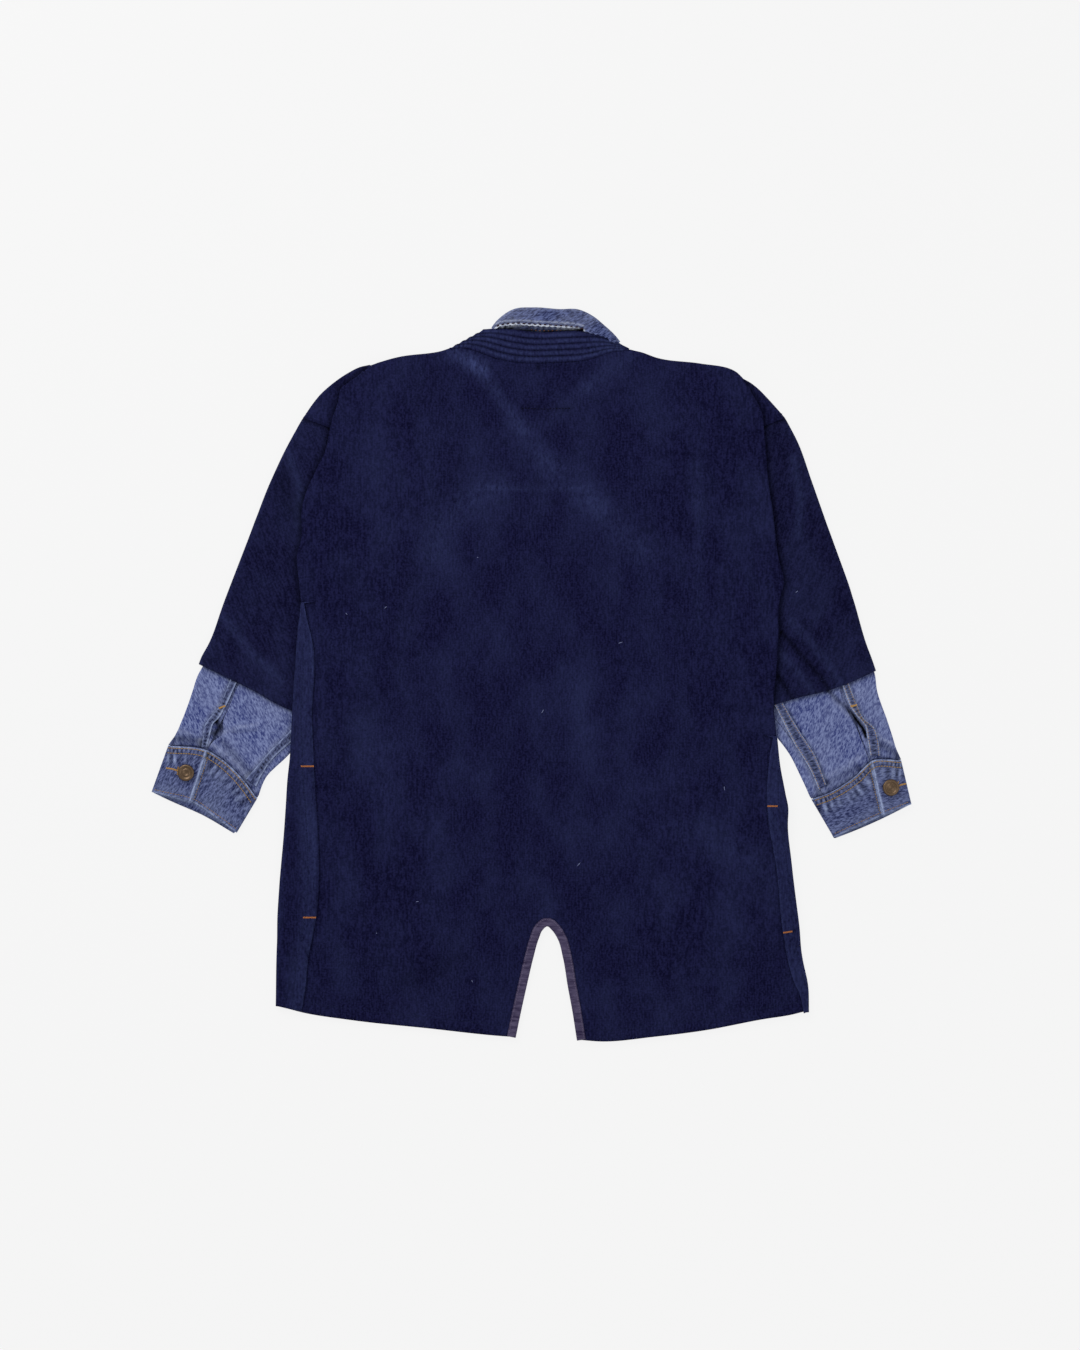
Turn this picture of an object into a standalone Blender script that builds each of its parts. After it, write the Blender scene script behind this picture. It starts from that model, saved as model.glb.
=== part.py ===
"""A navy sashiko coat with the collar, sleeves and cuffs of a denim jacket, lying face down.

The fronts lie lowest and the back lies over them. Each sleeve is flattened on the surface and
runs under the body, so the body cloth folds over it. Sizes and places are in millimetres and MM
turns them to metres. +X runs to the right sleeve, +Y to the collar and +Z up from the surface.
The origin is on the surface, under the middle of the whole outline.
"""

import math
from dataclasses import dataclass

import bmesh
import bpy
import numpy as np

MM = 0.001

# Walls and the air between them
GAP = 0.3
SASHIKO = 1.6
DENIM = 1.2
CUFF = 2.2
COLLAR = 2.0
BINDING = 1.0
POCKET = 1.0
BAND = 3.6
FRONT_BAND = 2.2
PLY = 3.2  # from the middle of a front's wall to the middle of the back's wall over it

# Heights of the middle of each wall above the surface
FLOOR_MID = SASHIKO / 2
SLEEVE_HIGH = 6.0
DENIM_LOW_INSIDE = 2.5
DENIM_HIGH = 4.3
CUFF_LOW = CUFF / 2
CUFF_HIGH = 4.5

# Folds, laps and turnings
SPREAD = 55.0  # how far the body cloth takes to come down beside a sleeve
REACH = 13.0  # how far past a sleeve's edge the body cloth stays up
REST = 0.8  # air between a sleeve and the cloth over it
POCKET_REACH = 14.0
POCKET_SPREAD = 30.0
RETURN = 8.0
FRONT_CLEAR = 3.0  # from the back's turned edge to the plain edge of a front under it
LAP_OVER_BACK = SASHIKO + 0.8
CUFF_LAP = 22.0
VENT_GAP = 5.0
HEM_CLEAR = 12.0  # how far past a sleeve's hem the denim under it stays up
HEM_STEP = 25.0
POCKET_RAISE = 2.8
BINDING_WIDTH = 9.5

# Neck band rows and collar
BAND_ROWS = 5
BAND_RELIEF = 0.9
BAND_LOW = 2.6
COLLAR_ROLL = 3.4
COLLAR_LEAF_LEAST = 4.0

# How finely the pieces are divided
ROWS = 30  # the fronts and the back, from the hem up
BACK_COLUMNS = 33
OUTLINE_STEPS = 21

# The block that cuts the vent: its lowest point on plan, and its bottom and top
CUTTER_END = -420.0
CUTTER_HEIGHTS = (-5.0, 25.0)

# Edges that lie under another piece
HIDDEN_IN = 2.0
FRONT_HEM_UP = 4.0

# Cuff button
BUTTON_RADIUS = 9.0
BUTTON_HEIGHT = 4.0
BUTTON_SHANK = 3.0

# Outlines on the back, from left to right or from the hem up
HEM = [(-271, -361), (-250, -364), (-194, -373), (-110, -382), (-35, -390), (49, -394),
       (74, -396), (132, -391), (187, -384), (250, -373), (293, -365), (296, -362)]
SHOULDERS = [(-180, 331), (-142, 342), (-101, 348), (-86, 351.5), (-75, 352), (-58, 348),
             (-39, 341), (-19, 337), (19, 336), (63, 340), (85, 347), (103, 350),
             (117, 348), (134, 342), (182, 335), (218, 327), (233, 312)]
NECK_ENDS = (-86.0, 103.0)
BAND_SEAM = [(-86, 351.8), (-75, 352.3), (-58, 348.3), (-39, 341.3), (-19, 337.3), (19, 336.3),
             (63, 340.3), (85, 347.8), (103, 351.2)]
BAND_TOP = [(-52, 371), (-29, 372), (-19, 371), (9, 368), (31, 369), (55, 370), (72, 369),
            (83, 364), (89, 360), (97, 354)]
COLLAR_BASE = [(-46, 354), (-19, 348), (19, 347), (63, 350), (86, 353)]
COLLAR_TOP = [(-46, 376.5), (-41, 378), (-32, 386), (-19, 393.9), (3, 395.8), (31, 393.9), (50, 393.7),
              (67, 386), (78, 377), (89, 367), (96, 359)]
COLLAR_EDGE = [(-44, 370), (-41, 374), (-29, 375), (-15, 377), (3, 376), (31, 374), (49, 373),
               (56, 371), (79, 366), (90, 359)]
VENT = [(-17, -392), (-11, -363), (-5, -336), (2, -306), (8, -285), (12, -276), (17, -272),
        (22, -276), (28, -285), (34, -306), (39, -336), (44, -363), (49, -395)]

# Soft creases of the body cloth: the line, how wide it is and how far it rises or sinks
BODY_CREASES = [
    (((-240, 50), (-218, 24), (-196, -2)), 13.0, 1.3),
    (((-219, -82), (-190, -116), (-160, -146)), 15.0, 1.4),
    (((251, -2), (236, 12), (219, 22)), 12.0, 1.2),
    (((-79, 345), (-51, 329), (-28, 289), (14, 240), (42, 212)), 11.0, 0.8),
    (((106, 345), (78, 324), (58, 305), (30, 284), (9, 268)), 11.0, 0.8),
]


@dataclass(frozen=True)
class Side:
    """One side of the coat: its outlines, seen from above, outer edge first or from the top down."""

    name: str
    out: int
    underarm: float
    fold: tuple
    side_edge: tuple
    side_seam: tuple
    shoulder_edge: tuple
    shoulder_hidden: tuple
    sleeve_outer: tuple
    sleeve_inner: tuple
    armhole: tuple
    sleeve_hem: tuple
    denim_outer: tuple
    denim_inner: tuple
    denim_seams: tuple
    cuff_top: tuple
    cuff_edge: tuple
    cuff_under_edge: tuple
    cuff_lap: tuple
    button: tuple
    front_top: tuple
    front_edge: tuple
    band_edge: tuple
    pocket: tuple
    lower_share: float
    sleeve_creases: tuple


LEFT = Side(
    name="left",
    out=-1,
    underarm=77,
    fold=((-248, 77), (-251, 105), (-253, 126), (-248, 146), (-247, 181), (-243, 195), (-233, 218),
          (-222, 241), (-216, 270), (-208, 295), (-205, 308), (-197, 314), (-186, 323), (-180, 331)),
    side_edge=((-276, -358), (-275, -298), (-271, -228), (-265, -163), (-260, -84), (-257, -27),
               (-253, 32), (-249, 74)),
    side_seam=((-248, -364), (-244, -341), (-241, -309), (-232, -262), (-234, -99), (-236, -49),
               (-235, 32), (-237, 42), (-242, 62), (-244, 74)),
    shoulder_edge=((-184, 332), (-197, 325), (-214, 314), (-229, 303), (-238, 290), (-246, 277)),
    shoulder_hidden=((-168, 326), (-166, 300), (-162, 270), (-160, 241)),
    sleeve_outer=((-247, 276), (-262, 249), (-281, 210), (-306, 145), (-331, 80), (-349, 32),
                  (-356, 19), (-359, 11)),
    sleeve_inner=((-127, 226), (-160, 133), (-192, 43), (-224, -47)),
    armhole=((-247, 276), (-217, 265), (-172, 246), (-127, 226)),
    sleeve_hem=((-359, 11), (-334, -1), (-301, -17), (-264, -37), (-224, -47)),
    denim_outer=((-331, 64), (-346, 26), (-355, 8), (-360, -1), (-371, -33), (-385, -66), (-392, -76.5)),
    denim_inner=((-208, 12), (-219, -20), (-232, -47), (-260, -85), (-289, -116), (-295.5, -133.5)),
    denim_seams=((0.30, 0.36), (0.95, 0.90)),
    cuff_top=((-392, -77), (-350, -82), (-331, -94), (-310, -115), (-296, -134)),
    cuff_edge=((-410, -127), (-397, -130), (-363, -139), (-347, -150), (-318, -171)),
    cuff_under_edge=((-410, -127), (-389, -137), (-355, -152), (-319, -173)),
    cuff_lap=(0.36, 0.42),
    button=(-372, -106),
    front_top=((-167, 319), (-142, 327.5), (-101, 334.5), (-82, 337)),
    front_edge=((-61.5, -384), (-61.5, 0), (-61.5, 200), (-66, 290), (-82, 337)),
    band_edge=((-27.5, -384), (-27.5, 0), (-27.5, 200), (-33, 290), (-50, 334)),
    pocket=((-243, -128), (-244, -255), (-130, -300), (-115, -112)),
    lower_share=16 / 26,
    sleeve_creases=(),
)
RIGHT = Side(
    name="right",
    out=1,
    underarm=-67,
    fold=((264, -67), (261, -27), (264, 5), (266, 40), (267, 77), (272, 101), (267, 121), (260, 176),
          (255, 210), (251, 261), (248, 283), (243, 293), (237, 303), (233, 312)),
    side_edge=((299.5, -362), (298.6, -336), (293, -309), (287, -266), (279, -201), (275, -160),
               (276, -142), (274, -130), (268, -98), (265.5, -70)),
    side_seam=((294.5, -362), (288.5, -343), (283, -332), (278, -315), (270.5, -275), (264, -210),
               (254.5, -151), (254, -116), (257, -84), (260, -71)),
    shoulder_edge=((237, 317), (240, 315), (254, 303), (264, 290), (271, 281), (274, 276)),
    shoulder_hidden=((219, 310), (212, 290), (205, 268), (201, 247)),
    sleeve_outer=((274, 276), (288, 249), (302, 210), (325, 145), (348, 80), (362, 32), (368, 16),
                  (372, 4)),
    sleeve_inner=((154, 228), (180, 137), (206, 47), (231, -43)),
    armhole=((274, 276), (251, 267), (201, 247), (154, 228)),
    sleeve_hem=((372, 4), (348, -7), (322, -17), (289, -25), (262, -33), (231, -43)),
    denim_outer=((346, 58), (361, 22), (370, 2), (373, -17), (384, -49), (395, -82), (399, -92.5)),
    denim_inner=((221, 20), (229, -15), (243, -41), (263, -66), (279, -88), (290, -110), (301.5, -134.5)),
    denim_seams=((0.27, 0.31), (0.93, 0.88)),
    cuff_top=((399, -93), (368, -93), (348, -111), (323, -127), (302, -135)),
    cuff_edge=((410, -140), (379, -152), (350, -165), (326, -176)),
    cuff_under_edge=((410, -140), (376, -157), (346, -170), (325, -178)),
    cuff_lap=(0.30, 0.36),
    button=(387, -122),
    front_top=((219, 305), (206, 314), (182, 320.5), (134, 328.5), (117, 333.5), (97, 336)),
    front_edge=((95.5, -389), (95.5, 0), (95.5, 200), (97, 290), (97, 336)),
    band_edge=((61.5, -389), (61.5, 0), (61.5, 200), (62, 290), (66, 332)),
    pocket=((260, -170), (268, -262), (150, -300), (140, -135)),
    lower_share=11 / 26,
    sleeve_creases=((((287, 4), (302, -10), (314, -20)), 10.0, 1.4),),
)
SIDES = (LEFT, RIGHT)

FINISHES = {
    "sashiko_navy": ((0.012, 0.013, 0.045, 1), 0.9, 0.0),
    "denim_blue": ((0.085, 0.11, 0.27, 1), 0.85, 0.0),
    "grosgrain_brown": ((0.10, 0.055, 0.07, 1), 0.8, 0.0),
    "pocket_cotton": ((0.05, 0.06, 0.12, 1), 0.9, 0.0),
    "antique_brass": ((0.36, 0.24, 0.11, 1), 0.45, 1.0),
}


def through(points, count):
    """Even steps along a smooth curve through the given points."""
    known = np.array(points, float)
    chord = np.concatenate([[0.0], np.cumsum(np.linalg.norm(np.diff(known, axis=0), axis=1))])
    slope = np.gradient(known, chord, axis=0)
    place = np.linspace(0.0, chord[-1], count)
    left = np.clip(np.searchsorted(chord, place, side="right") - 1, 0, len(known) - 2)
    step = (chord[left + 1] - chord[left])[:, None]
    t = (place - chord[left])[:, None] / step
    return ((2 * t**3 - 3 * t**2 + 1) * known[left] + (t**3 - 2 * t**2 + t) * step * slope[left]
            + (3 * t**2 - 2 * t**3) * known[left + 1] + (t**3 - t**2) * step * slope[left + 1])


def patch(first_row, last_row, first_column, last_column):
    """A grid of plan points spanned between four outline curves that share their corners."""
    u = np.linspace(0.0, 1.0, len(first_row))[None, :, None]
    v = np.linspace(0.0, 1.0, len(first_column))[:, None, None]
    rows = (1 - v) * first_row[None] + v * last_row[None]
    columns = (1 - u) * first_column[:, None] + u * last_column[:, None]
    ends = ((1 - v) * ((1 - u) * first_row[0] + u * first_row[-1])
            + v * ((1 - u) * last_row[0] + u * last_row[-1]))
    return rows + columns - ends


def span(plan, start, stop, count):
    """Even steps along each row of a plan, between two fractions of its length."""
    start, stop = (np.broadcast_to(np.asarray(f, float), len(plan)) for f in (start, stop))
    place = start[:, None] + (stop - start)[:, None] * np.linspace(0.0, 1.0, count)
    known = np.linspace(0.0, 1.0, plan.shape[1])
    return np.stack([[np.interp(p, known, row[:, axis]) for axis in (0, 1)]
                     for p, row in zip(place, plan)]).transpose(0, 2, 1)


def lift(plan, height):
    """Plan points at a height, which may be one number, one for each row or one for each point."""
    height = np.asarray(height, float)
    if height.ndim == 1:
        height = height[:, None]
    return np.dstack([plan, np.broadcast_to(height, plan.shape[:2])])


def turn(centre, outward, low, high, count, upward):
    """The round of cloth where a wall folds over, between two heights, without its end points."""
    angle = np.linspace(-90.0, 90.0, count + 2)[1:-1]
    angle = np.radians(angle if upward else angle[::-1])[None, :]
    low, high = (np.broadcast_to(np.asarray(h, float), len(centre))[:, None] for h in (low, high))
    radius = (high - low) / 2
    plan = centre[:, None] + outward[:, None] * (radius * np.cos(angle))[..., None]
    return np.dstack([plan, (low + high) / 2 + radius * np.sin(angle)])


def unit(vectors):
    """Vectors of the same direction, each of length 1."""
    return vectors / np.linalg.norm(vectors, axis=-1, keepdims=True)


def ease(x):
    """Smooth step from 0 to 1."""
    x = np.clip(x, 0.0, 1.0)
    return x * x * (3 - 2 * x)


def depth_inside(plan, outline):
    """Distance of plan points from an outline: above 0 inside it and below 0 outside."""
    points = plan.reshape(-1, 1, 2)
    start = np.array(outline, float)[None]
    edge = np.roll(start, -1, axis=1) - start
    offset = points - start
    along = np.clip((offset * edge).sum(-1) / np.maximum((edge**2).sum(-1), 1e-9), 0.0, 1.0)
    distance = np.linalg.norm(offset - along[..., None] * edge, axis=-1).min(axis=1)
    above = start[..., 1] > points[..., 1]
    crosses = above != np.roll(above, -1, axis=1)
    reach = start[..., 0] + edge[..., 0] * (points[..., 1] - start[..., 1]) / np.where(
        edge[..., 1] == 0, 1e-9, edge[..., 1])
    inside = (crosses & (points[..., 0] < reach)).sum(axis=1) % 2 == 1
    return np.where(inside, distance, -distance).reshape(plan.shape[:-1])


def crease_rise(plan, creases):
    """How far soft creases lift plan points: rise * exp(-(distance / width)^2)."""
    points = plan.reshape(-1, 1, 2)
    total = np.zeros(len(points))
    for line, width, rise in creases:
        start = np.array(line[:-1], float)[None]
        edge = np.diff(np.array(line, float), axis=0)[None]
        offset = points - start
        along = np.clip((offset * edge).sum(-1) / (edge**2).sum(-1), 0.0, 1.0)
        distance = np.linalg.norm(offset - along[..., None] * edge, axis=-1).min(axis=1)
        total += rise * np.exp(-(distance / width) ** 2)
    return total.reshape(plan.shape[:-1])


def sleeve_outline(side):
    """The plan of what a flattened sleeve and its shoulder cover."""
    return (list(side.shoulder_edge) + list(side.sleeve_outer) + list(side.sleeve_hem[1:])
            + list(side.sleeve_inner[::-1][1:]) + list(side.shoulder_hidden[::-1]))


def front_mid(plan):
    """Height of the middle of a front's wall: on the surface, or over what lies under it."""
    height = np.zeros(plan.shape[:-1])
    for side in SIDES:
        sleeve = SLEEVE_HIGH + SASHIKO / 2 + REST
        denim = DENIM_HIGH + DENIM / 2 + REST
        denim_outline = list(side.denim_outer) + list(side.denim_inner[::-1])
        for level, outline in ((sleeve, sleeve_outline(side)), (denim, denim_outline)):
            beyond = depth_inside(plan, outline) + REACH
            height = np.maximum(height, level * ease(1 + beyond / SPREAD))
    return FLOOR_MID + height


def back_mid(plan):
    """Height of the middle of the back's wall, over the fronts and the pocket bags."""
    height = front_mid(plan) + PLY
    for side in SIDES:
        beyond = depth_inside(plan, side.pocket) + POCKET_REACH
        height = height + POCKET_RAISE * ease(1 + beyond / POCKET_SPREAD)
    return height + crease_rise(plan, BODY_CREASES)


def mesh_object(name, points, faces, finish, collection):
    """A smooth-shaded mesh object from points in millimetres."""
    mesh = bpy.data.meshes.new(name)
    mesh.from_pydata((np.asarray(points) * MM).tolist(), [], faces)
    mesh.validate()
    obj = bpy.data.objects.new(name, mesh)
    collection.objects.link(obj)
    if finish:
        mesh.materials.append(finish)
    mesh.shade_smooth()
    return obj


def grid_faces(rows, columns, loop, keep):
    """The faces of a grid of points, whose last column may join its first."""
    faces = []
    for row in range(rows - 1):
        for column in range(columns if loop else columns - 1):
            beside = (column + 1) % columns
            if keep is None or keep[row, column]:
                faces.append((row * columns + column, row * columns + beside,
                              (row + 1) * columns + beside, (row + 1) * columns + column))
    return faces


def sheet(name, grid, wall, finish, collection, loop=False, keep=None):
    """A sheet of cloth: the open surface through the middle of its wall, with a Solidify."""
    rows, columns = grid.shape[:2]
    faces = grid_faces(rows, columns, loop, keep)
    used = sorted({corner for face in faces for corner in face})
    place = {corner: index for index, corner in enumerate(used)}
    faces = [tuple(place[corner] for corner in face) for face in faces]
    obj = mesh_object(name, grid.reshape(-1, 3)[used], faces, finish, collection)
    wall_modifier = obj.modifiers.new("wall", "SOLIDIFY")
    wall_modifier.thickness = wall * MM
    wall_modifier.offset = 0.0
    wall_modifier.use_even_offset = True
    wall_modifier.use_quality_normals = True
    return obj


def face_outward(obj):
    """Turns every face of a closed mesh outward."""
    shaped = bmesh.new()
    shaped.from_mesh(obj.data)
    bmesh.ops.recalc_face_normals(shaped, faces=shaped.faces)
    shaped.to_mesh(obj.data)
    shaped.free()


def slab(name, upper, lower, finish, collection):
    """A closed piece between an upper and a lower surface on the same plan."""
    rows, columns = upper.shape[:2]
    top = grid_faces(rows, columns, False, None)
    count = rows * columns
    bottom = [tuple(count + corner for corner in face[::-1]) for face in top]
    ring = ([(0, c) for c in range(columns)] + [(r, columns - 1) for r in range(1, rows)]
            + [(rows - 1, c) for c in range(columns - 2, -1, -1)]
            + [(r, 0) for r in range(rows - 2, 0, -1)])
    ring = [r * columns + c for r, c in ring]
    sides = [(b, a, count + a, count + b) for a, b in zip(ring, ring[1:] + ring[:1])]
    points = np.concatenate([upper.reshape(-1, 3), lower.reshape(-1, 3)])
    obj = mesh_object(name, points, top + bottom + sides, finish, collection)
    face_outward(obj)
    return obj


def tube_parts(plan, under_plan, low, high, wall, upper_columns, lower_columns, fold_columns):
    """The four stretches of a flattened tube: over, round the inner edge, under, round the outer.

    low is a function of plan points, because a wall may lie on the surface or on another piece.
    """
    radius = (high - low(plan).min(axis=1)) / 2
    length = np.linalg.norm(np.diff(plan, axis=1), axis=2).sum(axis=1)
    inset = (radius + wall / 2) / length
    over = span(plan, inset, 1 - inset, upper_columns)
    under = span(under_plan, 1 - inset, inset, lower_columns)
    outward = unit(over[:, 0] - over[:, 1])
    inward = unit(over[:, -1] - over[:, -2])
    return (lift(over, high),
            turn(over[:, -1], inward, low(over[:, -1]), high, fold_columns, False),
            lift(under, low(under)),
            turn(over[:, 0], outward, low(over[:, 0]), high, fold_columns, True), inset)


def flat(height):
    """A wall's height that is the same all over."""
    return lambda plan: np.full(plan.shape[:-1], height)


def lower_rows(side):
    """How many rows of the body lie below the underarm on one side."""
    return round(ROWS * side.lower_share)


def build_back(finish, collection, cutters):
    """The back, rolled under along the arm folds and the shoulders, with its vent cut out."""
    rows, columns, fold_columns = ROWS, BACK_COLUMNS, 4
    edges = []
    for side in SIDES:
        hidden = [(x - side.out * (SASHIKO + 2 * GAP + HIDDEN_IN), y) for x, y in side.side_edge]
        lower = through(hidden, lower_rows(side))
        upper = through(side.fold, rows - lower_rows(side))
        edges.append(np.concatenate([lower, upper]))
    hem = through(HEM, columns)
    top = through(SHOULDERS, columns)
    edges[0][0], edges[1][0] = hem[0], hem[-1]
    edges[0][-1], edges[1][-1] = top[0], top[-1]
    plan = patch(hem, top, edges[0], edges[1])
    radius = PLY / 2
    inset = radius + SASHIKO / 2
    for column, side in ((0, LEFT), (-1, RIGHT)):
        plan[lower_rows(side):, column, 0] -= side.out * inset
    plan[-1, :, 1] -= np.where((top[:, 0] < NECK_ENDS[0]) | (top[:, 0] > NECK_ENDS[1]), inset, 0.0)
    main = lift(plan, back_mid(plan))
    sides = []
    for column, side in ((0, LEFT), (-1, RIGHT)):
        edge, level = main[:, column, :2], main[:, column, 2]
        outward = np.tile([float(side.out), 0.0], (rows, 1))
        bend = turn(edge, outward, level - PLY, level, fold_columns, False)
        under = lift(edge[:, None] - np.array([side.out * RETURN, 0.0]), level - PLY)
        start = lift(edge[:, None], level - PLY)
        sides.append(np.concatenate([bend, start, under], axis=1))
    grid = np.concatenate([sides[0][:, ::-1], main, sides[1]], axis=1)
    extra = fold_columns + 2
    edge, level = grid[-1, :, :2], grid[-1, :, 2]
    bend = turn(edge, np.tile([0.0, 1.0], (len(edge), 1)), level - PLY, level, 3, False)
    bend = bend.transpose(1, 0, 2)
    start = lift(edge[None], (level - PLY)[None])
    under = start - np.array([0.0, RETURN, 0.0])
    grid = np.concatenate([grid, bend, start, under], axis=0)
    keep = np.ones((grid.shape[0] - 1, grid.shape[1] - 1), bool)
    keep[:lower_rows(LEFT), :extra] = False
    keep[:lower_rows(RIGHT), -extra:] = False
    keep[rows - 2:, :extra] = False
    keep[rows - 2:, -extra:] = False
    shoulder = (grid[rows - 1, :, 0] < NECK_ENDS[0]) | (grid[rows - 1, :, 0] > NECK_ENDS[1])
    keep[rows - 1:] &= (shoulder[1:] & shoulder[:-1])[None]
    keep[rows - 1:, :extra + 1] = False
    keep[rows - 1:, -extra - 1:] = False
    back = sheet("back", grid, SASHIKO, finish, collection, keep=keep)
    cutter = vent_cutter(cutters)
    cut = back.modifiers.new("vent", "BOOLEAN")
    cut.operation = "DIFFERENCE"
    cut.object = cutter
    return back


def vent_curve(count, outwards):
    """The vent's edge from its left corner to its right one, moved away from the opening."""
    edge = through(VENT, count)
    along = unit(np.gradient(edge, axis=0))
    away = np.stack([-along[:, 1], along[:, 0]], axis=1)
    return edge + away * outwards, away


def vent_cutter(cutters):
    """A block in the shape of the vent, clear of the binding's fold."""
    edge, _ = vent_curve(25, BINDING + 4 * GAP)
    outline = np.concatenate([edge, [[edge[-1, 0], CUTTER_END], [edge[0, 0], CUTTER_END]]])
    count = len(outline)
    points = np.concatenate([np.column_stack([outline, np.full(count, z)]) for z in CUTTER_HEIGHTS])
    faces = [tuple(range(count)), tuple(range(2 * count - 1, count - 1, -1))]
    faces += [(i, (i + 1) % count, count + (i + 1) % count, count + i) for i in range(count)]
    obj = mesh_object("vent_cutter", points, faces, None, cutters)
    face_outward(obj)
    obj.hide_render = True
    obj.display_type = "WIRE"
    return obj


def build_binding(finish, collection):
    """The tape folded round the edge of the vent."""
    radius = (SASHIKO + 2 * GAP + BINDING) / 2
    centre, away = vent_curve(23, radius + BINDING / 2)
    level = back_mid(centre[None])[0]
    leg = BINDING_WIDTH - radius - BINDING / 2
    legs = centre[:, None] + away[:, None] * np.linspace(leg, 0.0, 2)[None, :, None]
    grid = np.concatenate([
        lift(legs, level - radius),
        turn(centre, -away, level - radius, level + radius, 3, True),
        lift(legs[:, ::-1], level + radius)], axis=1)
    return sheet("vent_binding", grid, BINDING, finish, collection)


def build_front(side, finish, collection):
    """A front: flat on the surface, wrapped round the side and lapped over the back."""
    rows, columns, lap_columns, fold_columns = ROWS, 10, 3, 3
    lower = lower_rows(side)
    high = PLY + LAP_OVER_BACK
    inset = high / 2 + SASHIKO / 2
    folded = through([(x - side.out * inset, y) for x, y in side.side_edge], lower)
    clear = SASHIKO + PLY / 2 + RETURN + FRONT_CLEAR
    plain = [(x - side.out * clear, y) for x, y in side.fold]
    plain[0] = (plain[0][0], side.underarm - 1)
    plain = through(plain[:-1] + [side.front_top[0]], rows - lower)
    outer = np.concatenate([folded, plain])
    inner = through(side.front_edge, rows)
    hem = through([outer[0], side.front_edge[0]], columns)
    hem_x, hem_y = zip(*HEM)
    hem[1:-1, 1] = np.interp(hem[1:-1, 0], hem_x, hem_y) + FRONT_HEM_UP
    top = through(side.front_top, columns)
    top[-1] = inner[-1]
    plan = patch(hem, top, outer, inner)
    main = lift(plan, front_mid(plan))
    seam = np.concatenate([through(side.side_seam, lower), outer[lower:]])
    edge = plan[:, 0]
    below, level = main[:, 0, 2], back_mid(edge) + LAP_OVER_BACK
    outward = np.tile([float(side.out), 0.0], (rows, 1))
    bend = turn(edge, outward, below, level, fold_columns, True)
    across = np.linspace(0.0, 1.0, lap_columns)[None, :, None]
    lap = edge[:, None] + (seam - edge)[:, None] * across
    lap = lift(lap, back_mid(lap) + LAP_OVER_BACK)
    grid = np.concatenate([lap[:, ::-1], bend[:, ::-1], main], axis=1)
    keep = np.ones((rows - 1, grid.shape[1] - 1), bool)
    keep[lower - 1:, :lap_columns + fold_columns] = False
    return sheet("front_" + side.name, grid, SASHIKO, finish, collection, keep=keep)


def build_front_band(side, finish, collection):
    """The band sewn down a front's edge."""
    seam = through(side.front_edge, ROWS) - [side.out * 2 * GAP, 0.0]
    edge = through(side.band_edge, ROWS)
    across = np.linspace(0.0, 1.0, 4)[None, :, None]
    plan = seam[:, None] + (edge - seam)[:, None] * across
    grid = lift(plan, FRONT_BAND / 2)
    return sheet("front_band_" + side.name, grid, FRONT_BAND, finish, collection)


def build_shoulder(side, finish, collection):
    """The stretch of body cloth that shows beyond the fold of the back."""
    rows = 5
    outer = through(side.shoulder_edge, rows)
    inner = through(side.shoulder_hidden, rows)
    plan = outer[:, None] + (inner - outer)[:, None] * np.linspace(0.0, 1.0, 9)[None, :, None]
    plan[-1] = through([outer[-1], side.armhole[1], inner[-1]], 9)
    over, _, under, fold, _ = tube_parts(
        plan, plan, flat(FLOOR_MID), SLEEVE_HIGH, SASHIKO, 5, 3, 4)
    grid = np.concatenate([under, fold, over], axis=1)
    return sheet("shoulder_" + side.name, grid, SASHIKO, finish, collection)


def build_sleeve(side, finish, collection):
    """The wide outer sleeve, laid flat, with the creases of its upper side."""
    rows = 14
    first = through(side.armhole, OUTLINE_STEPS)
    last = through(side.sleeve_hem, OUTLINE_STEPS)
    outer = through(side.sleeve_outer, rows)
    inner = through(side.sleeve_inner, rows)
    plan = patch(first, last, outer, inner)
    over, inner_fold, under, outer_fold, _ = tube_parts(
        plan, plan, flat(FLOOR_MID), SLEEVE_HIGH, SASHIKO, 16, 4, 4)
    over[..., 2] += crease_rise(over[..., :2], side.sleeve_creases)
    grid = np.concatenate([over, inner_fold, under, outer_fold], axis=1)
    grid[0, :, 1] -= GAP
    return sheet("sleeve_" + side.name, grid, SASHIKO, finish, collection, loop=True)


def denim_plan(side, rows):
    """The plan of the denim sleeve, which ends just short of the cuff."""
    outer = through(side.denim_outer, rows)
    inner = through(side.denim_inner, rows)
    last = through(side.cuff_top, OUTLINE_STEPS) + [0.0, 3 * GAP]
    first = through([outer[0], inner[0]], OUTLINE_STEPS)
    outer[-1], inner[-1] = last[0], last[-1]
    return patch(first, last, outer, inner)


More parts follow.
